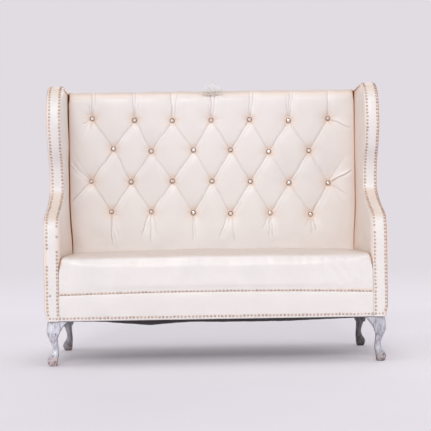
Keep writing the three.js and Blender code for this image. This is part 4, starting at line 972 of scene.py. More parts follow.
def tufting(x, z):
    """How far the leather lies behind the front of the pillows at places on the back, its painted shade round the
    buttons, its painted shade lines along the folds, and painted highlights beside them.
    """
    rows = button_rows()
    row_pitch = rows[0][0][0][1] - rows[1][0][0][1]
    top_row, low_row = rows[0][0][0][1], rows[-1][0][0][1]
    x, z = undrifted(x, z)
    across = x / BUTTON_PITCH
    down = (top_row - np.clip(z, low_row, top_row)) / (2 * row_pitch)
    pillow = np.sqrt(np.abs(np.sin(np.pi * (across + down)) * np.sin(np.pi * (across - down))))
    beyond = np.clip(np.maximum(z - top_row, low_row - z), 0, None)
    hollow = (1 - pillow**0.7) * PILLOW_DEPTH * (1 - 0.8 * smoothstep(beyond, 0, 0.09))
    inside = smoothstep(SEAT_HALF - np.abs(x), 0, 0.10)
    hollow = hollow * (0.25 + 0.75 * inside)
    near_button = np.full(x.shape, 10.0)
    for row in rows:
        for place, _ in row:
            near_button = np.minimum(near_button, np.hypot(x - place[0], z - place[1]))
    clear = smoothstep(near_button, 0.010, 0.022)
    shades_and_tarnish = np.zeros(x.shape)
    lines = np.zeros(x.shape)
    painted_highlight = np.zeros(x.shape)
    for start, end, depth, sharpness in pleat_lines():
        along = end - start
        length = np.linalg.norm(along)
        direction = along / length
        t = ((x - start[0]) * direction[0] + (z - start[1]) * direction[1]) / length
        sideways = (x - start[0]) * -direction[1] + (z - start[1]) * direction[0]
        if direction[1] > 0.9:
            sideways = -sideways
        wander = 0.0016 * np.sin(3.1 * np.pi * t + 90 * start[0]) * np.sin(np.pi * np.clip(t, 0, 1))
        sideways = sideways + wander
        ends = smoothstep(t, -0.02, 0.06) * (1 - smoothstep(t, 0.78, 1.04))
        if abs(start[1] - end[1]) > 0.14 and low_row - 0.001 < end[1] < top_row:
            ends = smoothstep(t, 0.0, 0.1) * (1 - smoothstep(t, 0.9, 1.0)) * (1 - 0.25 * np.sin(np.pi * np.clip(t, 0, 1)))
        reach = np.where(sideways < 0, 0.0095 - 0.002 * sharpness, 0.0075 - 0.0055 * sharpness)
        fold = np.exp(-np.abs(sideways / reach) ** 1.4) * ends
        lip = np.exp(-(((sideways - 0.007) / 0.0045) ** 2)) * ends
        hollow += (depth * fold - 0.9 * depth * sharpness * lip) * clear
        # A painted highlight in streaks on the pillow beside each sharp pleat
        highlight_band = np.exp(-(((sideways - 0.0080) / 0.0045) ** 2)) + 0.45 * np.exp(-(((sideways - 0.023) / 0.012) ** 2))
        highlight_band = highlight_band * ends * smoothstep(sharpness, 0.2, 0.9)
        highlight_streak = 0.75 + 0.25 * np.sin(3 * np.pi * t + 60 * start[0])
        painted_highlight = np.maximum(painted_highlight, highlight_band * highlight_streak * clear)
        # Painted shade along the line of each pleat
        line = np.exp(-((sideways / (0.0040 - 0.0020 * sharpness)) ** 2)) * ends
        lines = np.maximum(lines, line * (0.06 + 0.40 * sharpness) * clear)
    for row in rows:
        for place, _ in row:
            away = np.hypot(x - place[0], z - place[1])
            angle = np.arctan2(z - place[1], x - place[0])
            gathers = 0.0007 * np.cos(9 * angle + 40 * place[0]) * np.exp(-((away - 0.024) / 0.010) ** 2)
            hollow += BUTTON_DENT * np.exp(-((away / 0.024) ** 1.6)) + gathers
            # Painted peach shade round each button, and a painted dark ring at its rim
            shades_and_tarnish = np.maximum(shades_and_tarnish, 0.42 * np.exp(-((away / 0.029) ** 2)))
            lines = np.maximum(lines, 0.5 * np.exp(-((away / 0.0125) ** 6)))
    return hollow, shades_and_tarnish, lines, painted_highlight


def tufted_back():
    """The tufted cover with its wadding: a deep pad in front, its rounded top, and the return to the rear."""
    columns = BACK_COLUMNS
    shares = np.linspace(-1, 1, columns)
    crown = BACK_HEIGHT + BACK_CROWN
    turn = crown - BACK_TOP_ROUNDING
    heights = np.linspace(BACK_PAD_BASE, turn, BACK_ROWS)
    angles = np.linspace(0, np.pi / 2, BACK_TURN_ROWS + 1)[1:]
    z = np.r_[heights, turn + BACK_TOP_ROUNDING * np.sin(angles)]
    turned = np.r_[np.zeros(len(heights)), angles]
    half = pad_face(BACK_PAD_FRONT - FACE, z) - 0.0005 - 0.0035 * smoothstep(z, 1.185, 1.212)
    across = shares[None] * half[:, None]
    up = np.broadcast_to(z[:, None], across.shape)
    hollow, shades_and_tarnish, lines, painted_highlight = tufting(across, up)
    fade = smoothstep(up, SEAT_CROWN - 0.02, SEAT_CROWN + TUFT_FADE)
    rounding = BACK_TOP_ROUNDING * (1 - np.cos(turned))[:, None]
    from_side = half[:, None] - np.abs(across)
    side_rounding = np.where(across < 0, BACK_SIDE_ROUNDING, 0.5 * BACK_SIDE_ROUNDING)
    edge = rounded(from_side, side_rounding) * fade
    slack = 0.0009 * ripples(121, across, up, 0.1)
    flat = np.sqrt(np.cos(turned).clip(0))[:, None]
    depth = hollow * fade * flat + rounding + edge + (slack + BACK_START) * fade * flat
    front = np.stack([across, BACK_PAD_FRONT + depth, up], -1)
    held = np.maximum(0.3 * lines, smoothstep(shades_and_tarnish, 0.344, 0.407))
    held = np.maximum(held, 1 - smoothstep(from_side, 0.004, 0.03))
    held = np.maximum(held, 1 - smoothstep(up, SEAT_CROWN - 0.03, SEAT_CROWN))
    held = np.maximum(held, smoothstep(np.sin(turned), 0.05, 0.5)[:, None])
    front += swelling(front, held, (0, -1, 0), BACK_STRIDES, BACK_SWELL)
    settle = 0.0012 * ripples(122, shares, 0 * shares, 0.16)
    front[..., 2] += settle[None] * (np.sin(turned) ** 2)[:, None]
    pad_rear = BACK_PAD_FRONT + BACK_PAD_THICKNESS
    rear_top = BACK_HEIGHT - 0.0005
    under = [
        (FRAME_REAR, BACK_HEIGHT - BACK_RETURN_THICKNESS), (pad_rear, BACK_HEIGHT - BACK_RETURN_THICKNESS),
        (pad_rear, BACK_PAD_BASE),
    ]
    flat_top = np.linspace(BACK_PAD_FRONT + BACK_TOP_ROUNDING, FRAME_REAR - 0.001, 16)[1:]
    back_share = (flat_top - flat_top[0]) / (flat_top[-1] - flat_top[0])
    rings = []
    for column in range(columns):
        x = front[-1, column, 0]
        heights = crown + settle[column] - (crown + settle[column] - rear_top) * smoothstep(back_share, -0.3, 1)
        top = np.stack([np.full(15, x), flat_top, heights], 1)
        low_x = front[0, column, 0]
        rest = np.array([(x, *under[0]), (x, *under[1]), (low_x, *under[2])])
        rings.append(np.vstack([front[:, column], top, rest]))
    points, faces = lofted(rings)
    # Painted shade: peach where the back meets the side pads, brown in the joint (deeper on the left), and over the
    # rounded top and the flat top behind it
    side_shade = 0.28 * np.exp(-((from_side / 0.014) ** 2))
    side_shade = side_shade + np.where(across < 0, 0.7, 0.3) * np.exp(-((from_side / 0.0040) ** 2))
    top_shade = 0.20 * smoothstep(np.sin(turned), 0.0, 0.45)[:, None] + 0.04 * smoothstep(up, turn - 0.02, turn)
    top_shade = top_shade + 0.14 * smoothstep(np.sin(turned), 0.93, 0.99)[:, None]
    shade = np.maximum(shades_and_tarnish * fade * flat, side_shade + 0 * up) + top_shade
    shade_and_tarnish = np.vstack([shade, np.full((15, columns), 0.25), np.zeros((3, columns))]).T.ravel()
    # Painted grey shade over the top edge and the flat top, and along the pleat lines, with pale painted highlights
    # beside the pleats
    top_edge_shade = 0.22 * smoothstep(np.sin(turned), 0.4, 0.95)[:, None]
    toned = lines - painted_highlight * (1 - np.clip(3 * lines, 0, 1))
    fold = np.vstack([toned * fade * flat + top_edge_shade, np.full((15, columns), 0.22), np.zeros((3, columns))])
    fold = fold.T.ravel()
    piece = add_piece("tufted_back", points, faces, leather, ["back_cover"], shade_and_tarnish, 60, fold=fold)


def surface_behind(x, z):
    """The depth of the tufted leather, in the row frame, just round one place."""
    around = np.linspace(0, 2 * np.pi, 16, endpoint=False)
    hollow = tufting(x + 0.010 * np.cos(around)[None], z + 0.010 * np.sin(around)[None])[0]
    return BACK_PAD_FRONT + BACK_START + float(hollow.mean())


def turned_profile(profile, sides, start=0.0):
    """Points and faces of a profile of (radius, height) turned about the z axis, closed where its radius is zero."""
    points, rings = [], []
    for radius, height in profile:
        if radius < 1e-9:
            rings.append([len(points)])
            points.append((0, 0, height))
            continue
        rings.append(list(range(len(points), len(points) + sides)))
        for i in range(sides):
            angle = start + 2 * math.pi * i / sides
            points.append((radius * math.cos(angle), radius * math.sin(angle), height))
    faces = []
    for low, high in zip(rings, rings[1:]):
        for i in range(sides):
            following = (i + 1) % sides
            ends = [low[i % len(low)], low[following % len(low)], high[following % len(high)], high[i % len(high)]]
            face = list(dict.fromkeys(ends))
            if len(face) > 2:
                faces.append(tuple(face))
    return np.array(points, float), faces


def joined(parts):
    """Several (points, faces) as one."""
    points, faces, start = [], [], 0
    for part_points, part_faces in parts:
        points.append(part_points)
        faces.extend(tuple(start + i for i in face) for face in part_faces)
        start += len(part_points)
    return np.vstack(points), faces


def faced(points, origin, out):
    """Points turned from standing on the z axis to standing on a surface with a given outward direction."""
    turn = Vector((0, 0, 1)).rotation_difference(Vector(out)).to_matrix()
    return np.asarray(points) @ np.array(turn).T + np.asarray(origin)


def buttons():
    """Crystal buttons in metal rims, on twine that runs through the back to behind the webbing."""
    rim_profile = [
        (0, 0), (0.0085, 0.0002), (0.0112, 0.0012), (BUTTON_RADIUS, 0.0026), (0.0111, 0.0040), (0.0102, 0.0046),
        (0.0093, 0.0043), (0.0088, 0.0034), (0.0088, 0.0022), (0, 0.0020),
    ]
    cut_profile = [(0, 0.0021), (0.0086, 0.0023), (0.0087, 0.0038), (0.0070, 0.0054), (0.0042, 0.0063), (0, 0.0063)]
    for number, row in enumerate(button_rows(), 1):
        rims, stones, strings = [], [], []
        for i, (place, drift) in enumerate(row):
            x, z = place + drift
            seat_y = surface_behind(x, z) - 0.0005
            lean = Vector((0.05 * math.sin(5 * i + number), -1, 0.05 * math.cos(3 * i + 2 * number)))
            rim_points, rim_faces = turned_profile(rim_profile, 24)
            rims.append((faced(rim_points, (x, seat_y, z), lean), rim_faces))
            stone_points, stone_faces = turned_profile(cut_profile, 8, 0.3 * i)
            stones.append((faced(stone_points, (x, seat_y, z), lean), stone_faces))
            string_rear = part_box(f"button_row_{number}")[HIGH].y
            steps = np.linspace(seat_y + 0.002, string_rear, 30)
            for strand in (0, math.pi):
                rings = []
                for y in steps:
                    angle = strand + 300 * (y - seat_y)
                    centre = np.array([x + 0.0007 * math.cos(angle), y, z + 0.0007 * math.sin(angle)])
                    around = [2 * math.pi * k / 6 for k in range(6)]
                    rings.append([centre + 0.0007 * np.array([math.cos(a), 0, math.sin(a)]) for a in around])
                strings.append(lofted(rings))
        node_name = f"button_row_{number}"
        points, faces = joined(rims)
        add_piece(f"button_rims_{number}", points, faces, rim_metal, [node_name], sharp=50)
        points, faces = joined(stones)
        add_piece(f"button_stones_{number}", points, faces, crystal, [node_name], flat=True)
        points, faces = joined(strings)
        add_piece(f"button_twine_{number}", points, faces, flax, [node_name])


NAIL_PROFILE = [
    (0, -0.0006), (0.0052, -0.0006), (0.0053, 0.0002), (0.0049, 0.0009), (0.0040, 0.0016), (0.0027, 0.0022),
    (0.0013, 0.0025), (0, NAIL_HEIGHT),
]


def nail_line(name, places, replaced, seed):
    """A line of domed nails. Each place has a point on the cover and the direction out of it."""
    source = np.random.default_rng(seed)
    heads, shades_and_tarnish = [], []
    for point, out in places:
        shift = source.normal(0, 0.0005, 3)
        lean = np.asarray(out) + source.normal(0, 0.07, 3)
        points, faces = turned_profile(NAIL_PROFILE, 12, source.uniform(0, 1))
        scale = source.uniform(0.93, 1.03)
        heads.append((faced(points * scale, np.asarray(point) + shift - 0.4 * shift * np.abs(out), lean), faces))
        # A random darker tone on each head for tarnished nails, and painted shade round the foot of the head
        dark = source.uniform(0, 0.35)
        shades_and_tarnish.append(np.clip(dark + 0.7 * (points[:, 2] < 0.0012), 0, 1))
    points, faces = joined(heads)
    add_piece(name, points, faces, nail_metal, [replaced], np.concatenate(shades_and_tarnish), 60)


def nails():
    """The lines of nails: along the band, along the base, and two on each panel. A few have fallen out."""
    for name, height, reach in (
        ("band", SEAM_HEIGHT + PIECE_GAP / 2, BAND_NAIL_REACH),
        ("base", COVER_BASE + BASE_NAIL_LIFT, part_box("nail_strip_base")[HIGH].x),
    ):
        count = int(2 * reach / NAIL_PITCH)
        xs = (np.arange(count) - (count - 1) / 2) * NAIL_PITCH
        places = []
        for x in xs:
            face = FACE + (0.0012 if abs(x) < BAND_HALF else 0)
            z = height + (seam_bow(x) if name == "band" else 0)
            places.append(((float(tucked(np.array(x), height)), face - 0.0002, z), (0, -1, 0)))
        nail_line(f"nails_{name}", places, f"nail_strip_{name}", 7)
    line = side_edge(0, COVER_BASE + BASE_NAIL_LIFT + PANEL_NAIL_LIFT, WING_TOP_NAIL_DEPTH)
    length = np.linalg.norm(np.diff(line, axis=0), axis=1).sum()
    spots = evenly(line, int(length / NAIL_PITCH) + 1)
    along = np.gradient(spots, axis=0)
    along /= np.linalg.norm(along, axis=1)[:, None]
    missing = {
        ("inner", "left"): [(0.510, 0.562), (0.577, 0.597)], ("inner", "right"): [(0.567, 0.591)],
        ("outer", "left"): [(0.450, 0.502)], ("outer", "right"): [],
    }
    for row in ("inner", "outer"):
        for side, name in ((-1, "left"), (1, "right")):
            x = NAIL_LINES[row, name]
            places = []
            for spot, step in zip(spots, along):
                gone = any(low < spot[1] < high and spot[0] < 0.01 for low, high in missing[row, name])
                if not gone:
                    place_x = float(tucked(np.array(side * x), spot[1]))
                    places.append(((place_x, FACE + spot[0], spot[1]), (0, -step[1], step[0])))
            if (row, name) == ("outer", "left"):
                places.append(((-STRAY_NAIL[0], FACE - 0.001, STRAY_NAIL[1]), (0, -1, 0)))
            nail_line(f"nails_{row}_{name}", places, f"nail_strip_{row}_{name}", 17 + side)


# Cabriole legs: each row is a height, then the outer and inner offsets from the corner, as shares
LEG_REACH = 0.100
LEG_SECTION_SHARES = [
    (0, 0.18, 0.52), (0.05, 0.13, 0.54), (0.12, 0.105, 0.555), (0.18, 0.14, 0.565),
    (0.27, 0.26, 0.585), (0.36, 0.31, 0.58), (0.46, 0.28, 0.56), (0.58, 0.19, 0.545),
    (0.69, 0.105, 0.56), (0.8, 0.08, 0.6), (1, 0.12, 0.66),
]
LEG_EAR_SHARES = [(0.5, 0.60), (0.57, 0.665), (0.63, 0.75), (0.73, 0.84), (0.86, 0.925), (0.99, 1), (0.5, 1)]
LEG_EAR_THICKNESS = 0.024
LEG_EAR_SETBACK = 0.009
LEG_ROUNDNESS = 2.8
LEG_VOXEL = 0.0022
LEG_BLOCK = 0.070
# How much darker each leg is painted: painted shade, the rear legs and the right front leg being in shadow
LEG_SHADE = {("front", "left"): 0, ("front", "right"): 0.22, ("back", "left"): 0.45, ("back", "right"): 0.78}


def leg_shape():
    """The right front leg: a carved S with toes at the foot, and two ears."""
    top = COVER_BASE - PIECE_GAP
    sections = spline(LEG_SECTION_SHARES, 70)
    angles = np.linspace(0, 2 * np.pi, 48, endpoint=False)
    rings = []
    for rise, outer, inner in sections:
        centre = (outer + inner) / 2 * LEG_REACH
        half = (inner - outer) / 2 * LEG_REACH
        toes = 0.045 * np.cos(5 * (angles - 3 * np.pi / 4)) * (1 - smoothstep(rise, 0.08, 0.2)) * smoothstep(rise, 0.0, 0.03)
        power = 2 / LEG_ROUNDNESS
        across = np.sign(np.cos(angles)) * np.abs(np.cos(angles)) ** power * half * (1 + toes)
        deep = np.sign(np.sin(angles)) * np.abs(np.sin(angles)) ** power * half * (1 + toes)
        rings.append(np.stack([HALF_WIDTH - centre + across, FACE + centre + deep, np.full(48, rise * top)], 1))
    ear = spline(LEG_EAR_SHARES[:-1], 24) * (LEG_REACH, top)
    ear = np.vstack([ear, [(LEG_EAR_SHARES[-1][0] * LEG_REACH, top)]])
    parts = [lofted(rings)]
    for turned in (False, True):
        slices = []
        for share in np.linspace(0, 1, 7):
            bulge = 0.0025 * math.sin(math.pi * share)
            away = LEG_EAR_SETBACK + LEG_EAR_THICKNESS * share
            shrunk = ear + np.array([(bulge, -bulge)])
            shrunk[-1] = ear[-1]
            x = HALF_WIDTH - (np.full(len(ear), away) if turned else shrunk[:, 0])
            y = FACE + (shrunk[:, 0] if turned else np.full(len(ear), away))
            slices.append(np.stack([x, y, np.minimum(shrunk[:, 1], top)], 1))
        parts.append(lofted(slices))
    return parts


def remeshed(points, faces, voxel, smoothing):
    """One smooth skin round solids that overlap."""
    mesh = bpy.data.meshes.new("carving")
    mesh.from_pydata([tuple(p) for p in points], [], [tuple(f) for f in faces])
    work = bmesh.new()
    work.from_mesh(mesh)
    bmesh.ops.recalc_face_normals(work, faces=work.faces)
    work.to_mesh(mesh)
    work.free()
    block = bpy.data.objects.new("carving", mesh)
    bpy.context.scene.collection.objects.link(block)
    block.modifiers.new("skin", "REMESH").voxel_size = voxel
    smooth = block.modifiers.new("smooth", "SMOOTH")
    smooth.iterations = smoothing
    smooth.factor = 0.5
    evaluated = block.evaluated_get(bpy.context.evaluated_depsgraph_get())
    skin = evaluated.to_mesh()
    made = np.array([v.co for v in skin.vertices])
    made_faces = [tuple(face.vertices) for face in skin.polygons]
    evaluated.to_mesh_clear()
    bpy.data.objects.remove(block)
    return made, made_faces


def legs():
    """The four legs, each a mirror image of the right front one."""
    parts = []
    for solid in leg_shape():
        parts.append(solid)
    points, faces = remeshed(*joined(parts), LEG_VOXEL, 4)
    top = COVER_BASE - PIECE_GAP
    points[:, 2] = np.clip(points[:, 2], 0, top)
    # Painted shade: darker on the inner sides of the leg, at the foot on the floor and at the top under the frame
    corner = np.array([HALF_WIDTH, FACE])
    inward = np.clip(((corner[0] - points[:, 0]) + (points[:, 1] - corner[1])) / 2 / LEG_REACH, 0, 1)
    edge = smoothstep(inward, 0.52, 0.62) * 0.55
    under = smoothstep(points[:, 2], 0.006, 0.0) * 0.5
    shade_and_tarnish = np.clip(edge + under + 0.6 * smoothstep(points[:, 2], top - 0.004, top), 0, 0.9)
    node_low, node_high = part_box("front_leg_right")
    block_low = (node_low.x + 0.0, FACE + 0.012)
    for end, flip_y in (("front", False), ("back", True)):
        for side, name in ((-1, "left"), (1, "right")):
            placed = points.copy()
            placed[:, 0] *= side
            if flip_y:
                low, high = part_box(f"back_leg_{name}")
                front_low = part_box(f"front_leg_{name}")[LOW]
                placed[:, 1] = high.y - (placed[:, 1] - front_low.y)
            dark = np.clip(shade_and_tarnish + LEG_SHADE[end, name], 0, 0.9)
            add_piece(
                f"leg_{end}_{name}", placed, faces, leg_paint, [f"{end}_leg_{name}"], dark, 70,
            )


def leg_blocks():
    """The block and bolt on top of each leg, inside the frame."""
    size, bolt_radius, bolt_height = LEG_BLOCK, 0.008, 0.0480
    low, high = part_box("front_leg_right")
    base = COVER_BASE - 2 * PIECE_GAP
    block_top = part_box("side_seat_rail_right")[LOW].z - PIECE_GAP
    outer = SIDE_COVER_INNER - 0.0006
    front = FACE + 0.0117 + PIECE_GAP
    inset = 0.0012
    for end in ("front", "back"):
        for side, name in ((-1, "left"), (1, "right")):
            rings = []
            for rise, shrink in ((0, inset), (0.001, 0), (0.0025, 0), (block_top - base, inset)):
                near, far = outer - size + shrink, outer - shrink
                ring = [(near, front + shrink), (far, front + shrink), (far, front + size - shrink), (near, front + size - shrink)]
                rings.append([(side * x, y if end == "front" else -(y - 2 * 0.0018), base + rise) for x, y in ring])
            centre_x, centre_y = HALF_WIDTH - 0.068, FACE + 0.068
            turns = 40
            bolt = []
            for i in range(turns + 1):
                height = block_top - 0.001 + (high.z - block_top + 0.001) * i / turns
                radius = bolt_radius * (0.9 + 0.1 * math.cos(2 * math.pi * i / 2)) * (0.8 if i == turns else 1)
                bolt.append([
                    (side * (centre_x + radius * math.cos(a)), centre_y + radius * math.sin(a), height)
                    for a in np.linspace(0, 2 * math.pi, 16, endpoint=False)
                ])
            if end == "back":
                back_low, back_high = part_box(f"back_leg_{name}")
                bolt = [[(x, back_high.y - (y - low.y), z) for x, y, z in ring] for ring in bolt]
                rings = [[(x, back_high.y - ((front if k < 2 else front + size) - low.y), z) for k, (x, y, z) in enumerate(ring)] for ring in rings]
            points, faces = joined([lofted(rings)])
            add_piece(f"leg_block_{end}_{name}", points, faces, timber, [f"{end}_leg_{name}"])
            points, faces = joined([lofted(bolt)])
            add_piece(f"leg_bolt_{end}_{name}", points, faces, spring_steel, [f"{end}_leg_{name}"])


# How far the black cloth hangs below the band's lower edge just behind it, at places along the front, in millimetres
FRONT_HANG = [
    (-714, 0), (-547, 2), (-478, 5), (-386, 13), (-295, 22), (-211, 15), (-89, 9.5), (0, 12), (151, 13), (309, 13),
    (462, 8), (619, 3.5), (660, 0), (714, 0),
]
CLOTH_SAG = 0.012
CLOTH_NOTCH = 0.104


def dust_cover():
    """The black cambric tacked under the seat, which has come loose behind the band and hangs there in a slack fold."""
    low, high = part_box("dust_cover")
    notch_x, front_notch, rear_notch = HALF_WIDTH - CLOTH_NOTCH, FACE + CLOTH_NOTCH, BACK_FACE - CLOTH_NOTCH
    xs = np.r_[
        np.linspace(low.x, -notch_x, 8)[:-1], np.linspace(-notch_x, notch_x, 150)[:-1], np.linspace(notch_x, high.x, 8),
    ]
    ys = np.r_[
        np.linspace(low.y, front_notch, 20)[:-1], np.linspace(front_notch, rear_notch, 44)[:-1],
        np.linspace(rear_notch, high.y, 12),
    ]
    across, deep = np.meshgrid(xs, ys)
    u = (across - low.x) / (high.x - low.x)
    v = (deep - low.y) / (high.y - low.y)
    slack = np.sqrt(np.clip(np.sin(np.pi * u) * np.sin(np.pi * v), 0, 1))
    edge = np.minimum.reduce([across - low.x, high.x - across, deep - low.y, high.y - deep])
    hang_at = np.array(FRONT_HANG) / 1000
    hang = np.interp(across, hang_at[:, 0], hang_at[:, 1]) + 0.0062 * (np.abs(across) < 0.64)
    behind = deep - low.y
    fold = hang * smoothstep(behind, 0, 0.026) * (1 - 0.75 * smoothstep(behind, 0.05, 0.30))
    tucks = 0.0015 * np.abs(np.sin(np.pi * across / 0.06)) * np.exp(-edge / 0.03) * smoothstep(edge, 0, 0.008)
    creasing = 0.0012 * ripples(141, across, deep, 0.14) * slack
    z = high.z - 0.0006 - np.maximum(CLOTH_SAG * slack, fold) - tucks + creasing
    z = np.maximum(z, low.z)
    points = np.stack([across, deep, z], -1).reshape(-1, 3)
    faces, area = [], 0.0
    for face in grid_faces(len(ys), len(xs)):
        corners = points[list(face)]
        middle = corners.mean(0)
        if abs(middle[0]) > notch_x and not front_notch < middle[1] < rear_notch:
            continue
        faces.append(face)
        area += abs((corners[1][0] - corners[0][0]) * (corners[3][1] - corners[0][1]))
    used = sorted({i for face in faces for i in face})
    renumbered = {old: new for new, old in enumerate(used)}
    faces = [tuple(renumbered[i] for i in face) for face in faces]
    piece = add_piece("cambric_cover", points[used], faces, black_cloth, ["dust_cover"])


def tube(path, radii, sides=10):
    """Points and faces of a tube along a path, with a radius at each point."""
    path = np.asarray(path, float)
    along = np.gradient(path, axis=0)
    along /= np.linalg.norm(along, axis=1)[:, None]
    side = np.cross(along, (0, 1, 0))
    side /= np.linalg.norm(side, axis=1)[:, None]
    up = np.cross(side, along)
    angles = np.linspace(0, 2 * np.pi, sides, endpoint=False)
    rings = [
        [p + r * (math.cos(a) * s + 0.8 * math.sin(a) * t) for a in angles]
        for p, r, s, t in zip(path, radii, side, up)
    ]
    return lofted(rings)


def scroll(centre, start_radius, end_radius, start_angle, turn, y, steps=46):
    """A flat spiral as a path."""
    share = np.linspace(0, 1, steps)
    radius = start_radius + (end_radius - start_radius) * share
    angle = start_angle + turn * share
    return np.stack([centre[0] + radius * np.cos(angle), np.full(steps, y), centre[1] + radius * np.sin(angle)], 1)


CREST_OFFSET = 0.004


def crest():
    """The pierced silver crest: a domed palmette with scrolls on either side, on a beaded bar."""
    low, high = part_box("crest_ornament")
    y = (low.y + high.y) / 2
    width, height = high.x - CREST_OFFSET, high.z - low.z

    def at(x, z):
        return np.array([CREST_OFFSET + x * width, y, low.z + z * height])

    def bead(place, size):
        profile = [(0, -0.8 * size), (0.8 * size, -0.4 * size), (size, 0), (0.7 * size, 0.7 * size), (0, size)]
        bead_points, bead_faces = turned_profile(profile, 12)
        return faced(bead_points, place, (0, -1, 0)), bead_faces

    parts = []
    lean = 0.08
    dome_shares = [(-0.30, 0.16), (-0.42, 0.42), (-0.34, 0.72), (0, 0.95), (0.34, 0.72), (0.42, 0.42), (0.30, 0.16)]
    dome = spline([at(x + lean, z) for x, z in dome_shares], 60)
    parts.append(tube(dome, np.full(len(dome), 0.0022)))
    for petal in range(-2, 3):
        angle = petal * 0.62
        tip = at(lean + 0.34 * math.sin(angle), 0.44 + 0.34 * math.cos(angle))
        root = at(lean + 0.05 * petal, 0.26)
        middle = (root + tip) / 2 + np.array([0.0012 * petal, 0, 0.002])
        path = spline([root, middle, tip], 20)
        parts.append(tube(path, 0.0015 + 0.0020 * np.sin(np.linspace(0.1, 2.6, len(path)))))
        parts.append(bead(tip, 0.0030))
    for side in (-1, 1):
        for x, z, size, turn in ((0.80, 0.24, 0.11, 5.4), (0.56, 0.36, 0.14, 6.2)):
            centre = at(side * x, z)
            path = scroll((centre[0], centre[2]), size * height, 0.3 * size * height, -math.pi / 2, -side * turn, y)
            parts.append(tube(path, np.linspace(0.0025, 0.0014, len(path))))
            parts.append(bead(centre, 0.0026))
        flank = spline([at(side * 0.40, 0.66), at(side * 0.56, 0.56), at(side * 0.74, 0.40), at(side * 0.97, 0.34)], 30)
        parts.append(tube(flank, np.linspace(0.0020, 0.0012, len(flank))))
        foot = spline([at(side * 0.30, 0.14), at(side * 0.60, 0.10), at(side * 0.92, 0.12), at(side * 0.99, 0.26)], 24)
        parts.append(tube(foot, np.linspace(0.0024, 0.0012, len(foot))))
    heart = spline([at(0, 0.10), at(0.16, 0.2), at(0.13, 0.34), at(0, 0.42), at(-0.13, 0.34), at(-0.16, 0.2), at(0, 0.10)], 40)
    parts.append(tube(heart, np.full(len(heart), 0.0022)))
    bar = spline([at(-0.84, 0.10), at(-0.4, 0.07), at(0, 0.09), at(0.4, 0.07), at(0.84, 0.10)], 60)
    parts.append(tube(bar, np.interp(np.linspace(-1, 1, 61), (-1, -0.45, 0.45, 1), (0.0010, 0.0022, 0.0022, 0.0010))))
    for x in np.linspace(-0.42, 0.42, 9):
        parts.append(bead(at(x, 0.035), 0.0020))
    parts.append(bead(at(lean, 0.97), 0.0028))
    points, faces = joined(parts)
    points[:, 1] = np.clip(points[:, 1], low.y, high.y)
    # Painted shade on the parts further back, and beige on the lower part, partly tarnished and partly a painted
    # reflection of the leather
    shade_and_tarnish = np.clip((points[:, 1] - y) / (high.y - y), 0, 1) * 0.6
    shade_and_tarnish = np.maximum(shade_and_tarnish, 0.8 * (1 - smoothstep(points[:, 2], low.z + 0.1 * height, low.z + 0.5 * height)))
    add_piece("crest_scrollwork", points, faces, silver, ["crest_ornament"], shade_and_tarnish, 60)


def dress_frame():
    """Gives every solid that still shows its own material."""
    by_slot = {
        "timber": timber, "foam": foam, "webbing": webbing, "spring_steel": spring_steel, "nail_metal": nail_metal,
        "crystal_button": crystal, "leg_paint": leg_paint, "black_cloth": black_cloth, "crest_silver": silver,
        "leather": leather,
    }
    slots = {row["node"]: row["material_slot"] for row in frame["record"]["subparts"]}
    for name, solid in frame["nodes"].items():
        solid.data.materials.clear()
        solid.data.materials.append(by_slot[slots[name]])


def sun(name, azimuth, elevation, strength, spread, tint):
    """A soft, far light. Azimuth 0 comes from the front and positive angles from the right."""
    light = bpy.data.lights.new(name, "SUN")
    light.energy = strength
    light.angle = math.radians(spread)
    light.color = tint
    lamp = bpy.data.objects.new(name, light)
    bpy.context.scene.collection.objects.link(lamp)
    a, e = math.radians(azimuth), math.radians(elevation)
    source = Vector((math.sin(a) * math.cos(e), -math.cos(a) * math.cos(e), math.sin(e)))
    lamp.rotation_mode = "QUATERNION"
    lamp.rotation_quaternion = source.to_track_quat("Z", "Y")


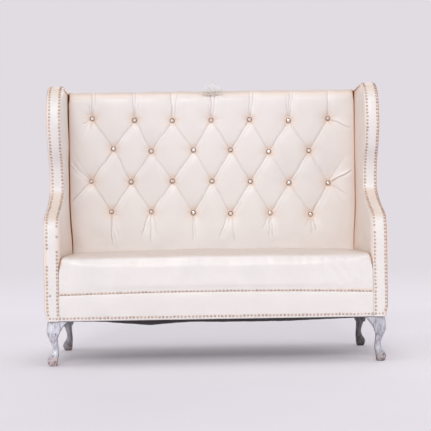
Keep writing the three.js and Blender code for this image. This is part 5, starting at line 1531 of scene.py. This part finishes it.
def studio():
    """A pale floor that runs to the horizon, a pale world, and soft lights from the left, right and above."""
    backdrop = colour(225, 220, 226)
    mesh = bpy.data.meshes.new("floor")
    reach = 400
    mesh.from_pydata([(-reach, -reach, 0), (reach, -reach, 0), (reach, reach, 0), (-reach, reach, 0)], [], [(0, 1, 2, 3)])
    material, tree, surface, place = new_material("pale_floor")
    cloud = noise(tree, place, 0.8, 3)
    tone = ramp(tree, cloud, [(0.3, colour(246, 239, 246)), (0.7, colour(250, 243, 250))])
    finish_surface(tree, surface, {"Base Color": tone}, Roughness=0.9, Specular_IOR_Level=0.1)
    glow = node(tree, "Emission", {"Color": backdrop, "Strength": 1})
    away = node(tree, "VectorMath", {"Vector": place}, operation="LENGTH").outputs["Value"]
    share = between(tree, away, FLOOR_FADE_START, FLOOR_FADE_END, FLOOR_GLOW, 1)
    seen = calculate(tree, "MULTIPLY", node(tree, "LightPath").outputs["Is Camera Ray"], share)
    lit = node(tree, "MixShader", {"Fac": seen})
    tree.links.new(surface.outputs["BSDF"], lit.inputs[1])
    tree.links.new(glow.outputs["Emission"], lit.inputs[2])
    tree.links.new(lit.outputs["Shader"], tree.nodes["Material Output"].inputs["Surface"])
    mesh.materials.append(material)
    floor = bpy.data.objects.new("floor", mesh)
    bpy.context.scene.collection.objects.link(floor)

    world = bpy.data.worlds.new("studio")
    bpy.context.scene.world = world
    world.use_nodes = True
    tree = world.node_tree
    seen = tree.nodes["Background"]
    seen.inputs["Color"].default_value = backdrop
    seen.inputs["Strength"].default_value = 1
    soft = node(tree, "Background", {"Color": (0.93, 0.965, 1.0, 1), "Strength": 0.56})
    path = node(tree, "LightPath")
    direct = calculate(tree, "MAXIMUM", path.outputs["Is Camera Ray"], path.outputs["Is Transmission Ray"])
    direct = calculate(tree, "MAXIMUM", direct, path.outputs["Is Glossy Ray"])
    chosen = node(tree, "MixShader", {"Fac": direct})
    tree.links.new(soft.outputs["Background"], chosen.inputs[1])
    tree.links.new(seen.outputs["Background"], chosen.inputs[2])
    tree.links.new(chosen.outputs["Shader"], tree.nodes["World Output"].inputs["Surface"])

    sun("key", -5, 34, 0.80, 18, (1.0, 0.98, 0.96))
    sun("front_fill", 0, 10, 0.12, 60, (1.0, 0.98, 0.96))
    sun("left_fill", -57, 16, 0.60, 60, (1.0, 0.97, 0.95))
    sun("right_fill", 57, 16, 0.52, 60, (1.0, 0.97, 0.95))
    sun("rear", 168, 14, 0.9, 60, (1.0, 0.99, 0.98))


def camera():
    """The camera of the photograph: almost level, a little left of the middle, and very slightly rolled."""
    lens = bpy.data.cameras.new("camera")
    lens.sensor_width = SENSOR_WIDTH
    lens.lens = FOCAL_PIXELS / PICTURE_WIDTH * SENSOR_WIDTH
    middle = PICTURE_WIDTH / 2
    lens.shift_x = (middle - PRINCIPAL_POINT[0]) / PICTURE_WIDTH
    lens.shift_y = (PRINCIPAL_POINT[1] - middle) / PICTURE_WIDTH
    sin_yaw, cos_yaw = math.sin(CAMERA_YAW), math.cos(CAMERA_YAW)
    sin_pitch, cos_pitch = math.sin(CAMERA_PITCH), math.cos(CAMERA_PITCH)
    forward = Vector((sin_yaw * cos_pitch, cos_yaw * cos_pitch, -sin_pitch))
    level = Vector((cos_yaw, -sin_yaw, 0))
    rise = Vector((sin_yaw * sin_pitch, cos_yaw * sin_pitch, cos_pitch))
    right = math.cos(CAMERA_ROLL) * level - math.sin(CAMERA_ROLL) * rise
    up = math.sin(CAMERA_ROLL) * level + math.cos(CAMERA_ROLL) * rise
    place = Vector((
        CAMERA_OFFSET * cos_yaw - CAMERA_DISTANCE * sin_yaw,
        FACE - CAMERA_OFFSET * sin_yaw - CAMERA_DISTANCE * cos_yaw,
        CAMERA_HEIGHT,
    ))
    seen_from = bpy.data.objects.new("camera", lens)
    bpy.context.scene.collection.objects.link(seen_from)
    turn = Matrix((right, up, -forward)).transposed().to_4x4()
    seen_from.matrix_world = Matrix.Translation(place) @ turn
    bpy.context.scene.camera = seen_from


camera()
studio()
dress_frame()
tufted_back()
seat()
band()
front_panels()
side_pads()
side_covers()
outer_back()
buttons()
nails()
legs()
leg_blocks()
dust_cover()
crest()

bpy.context.scene.view_settings.view_transform = "Standard"
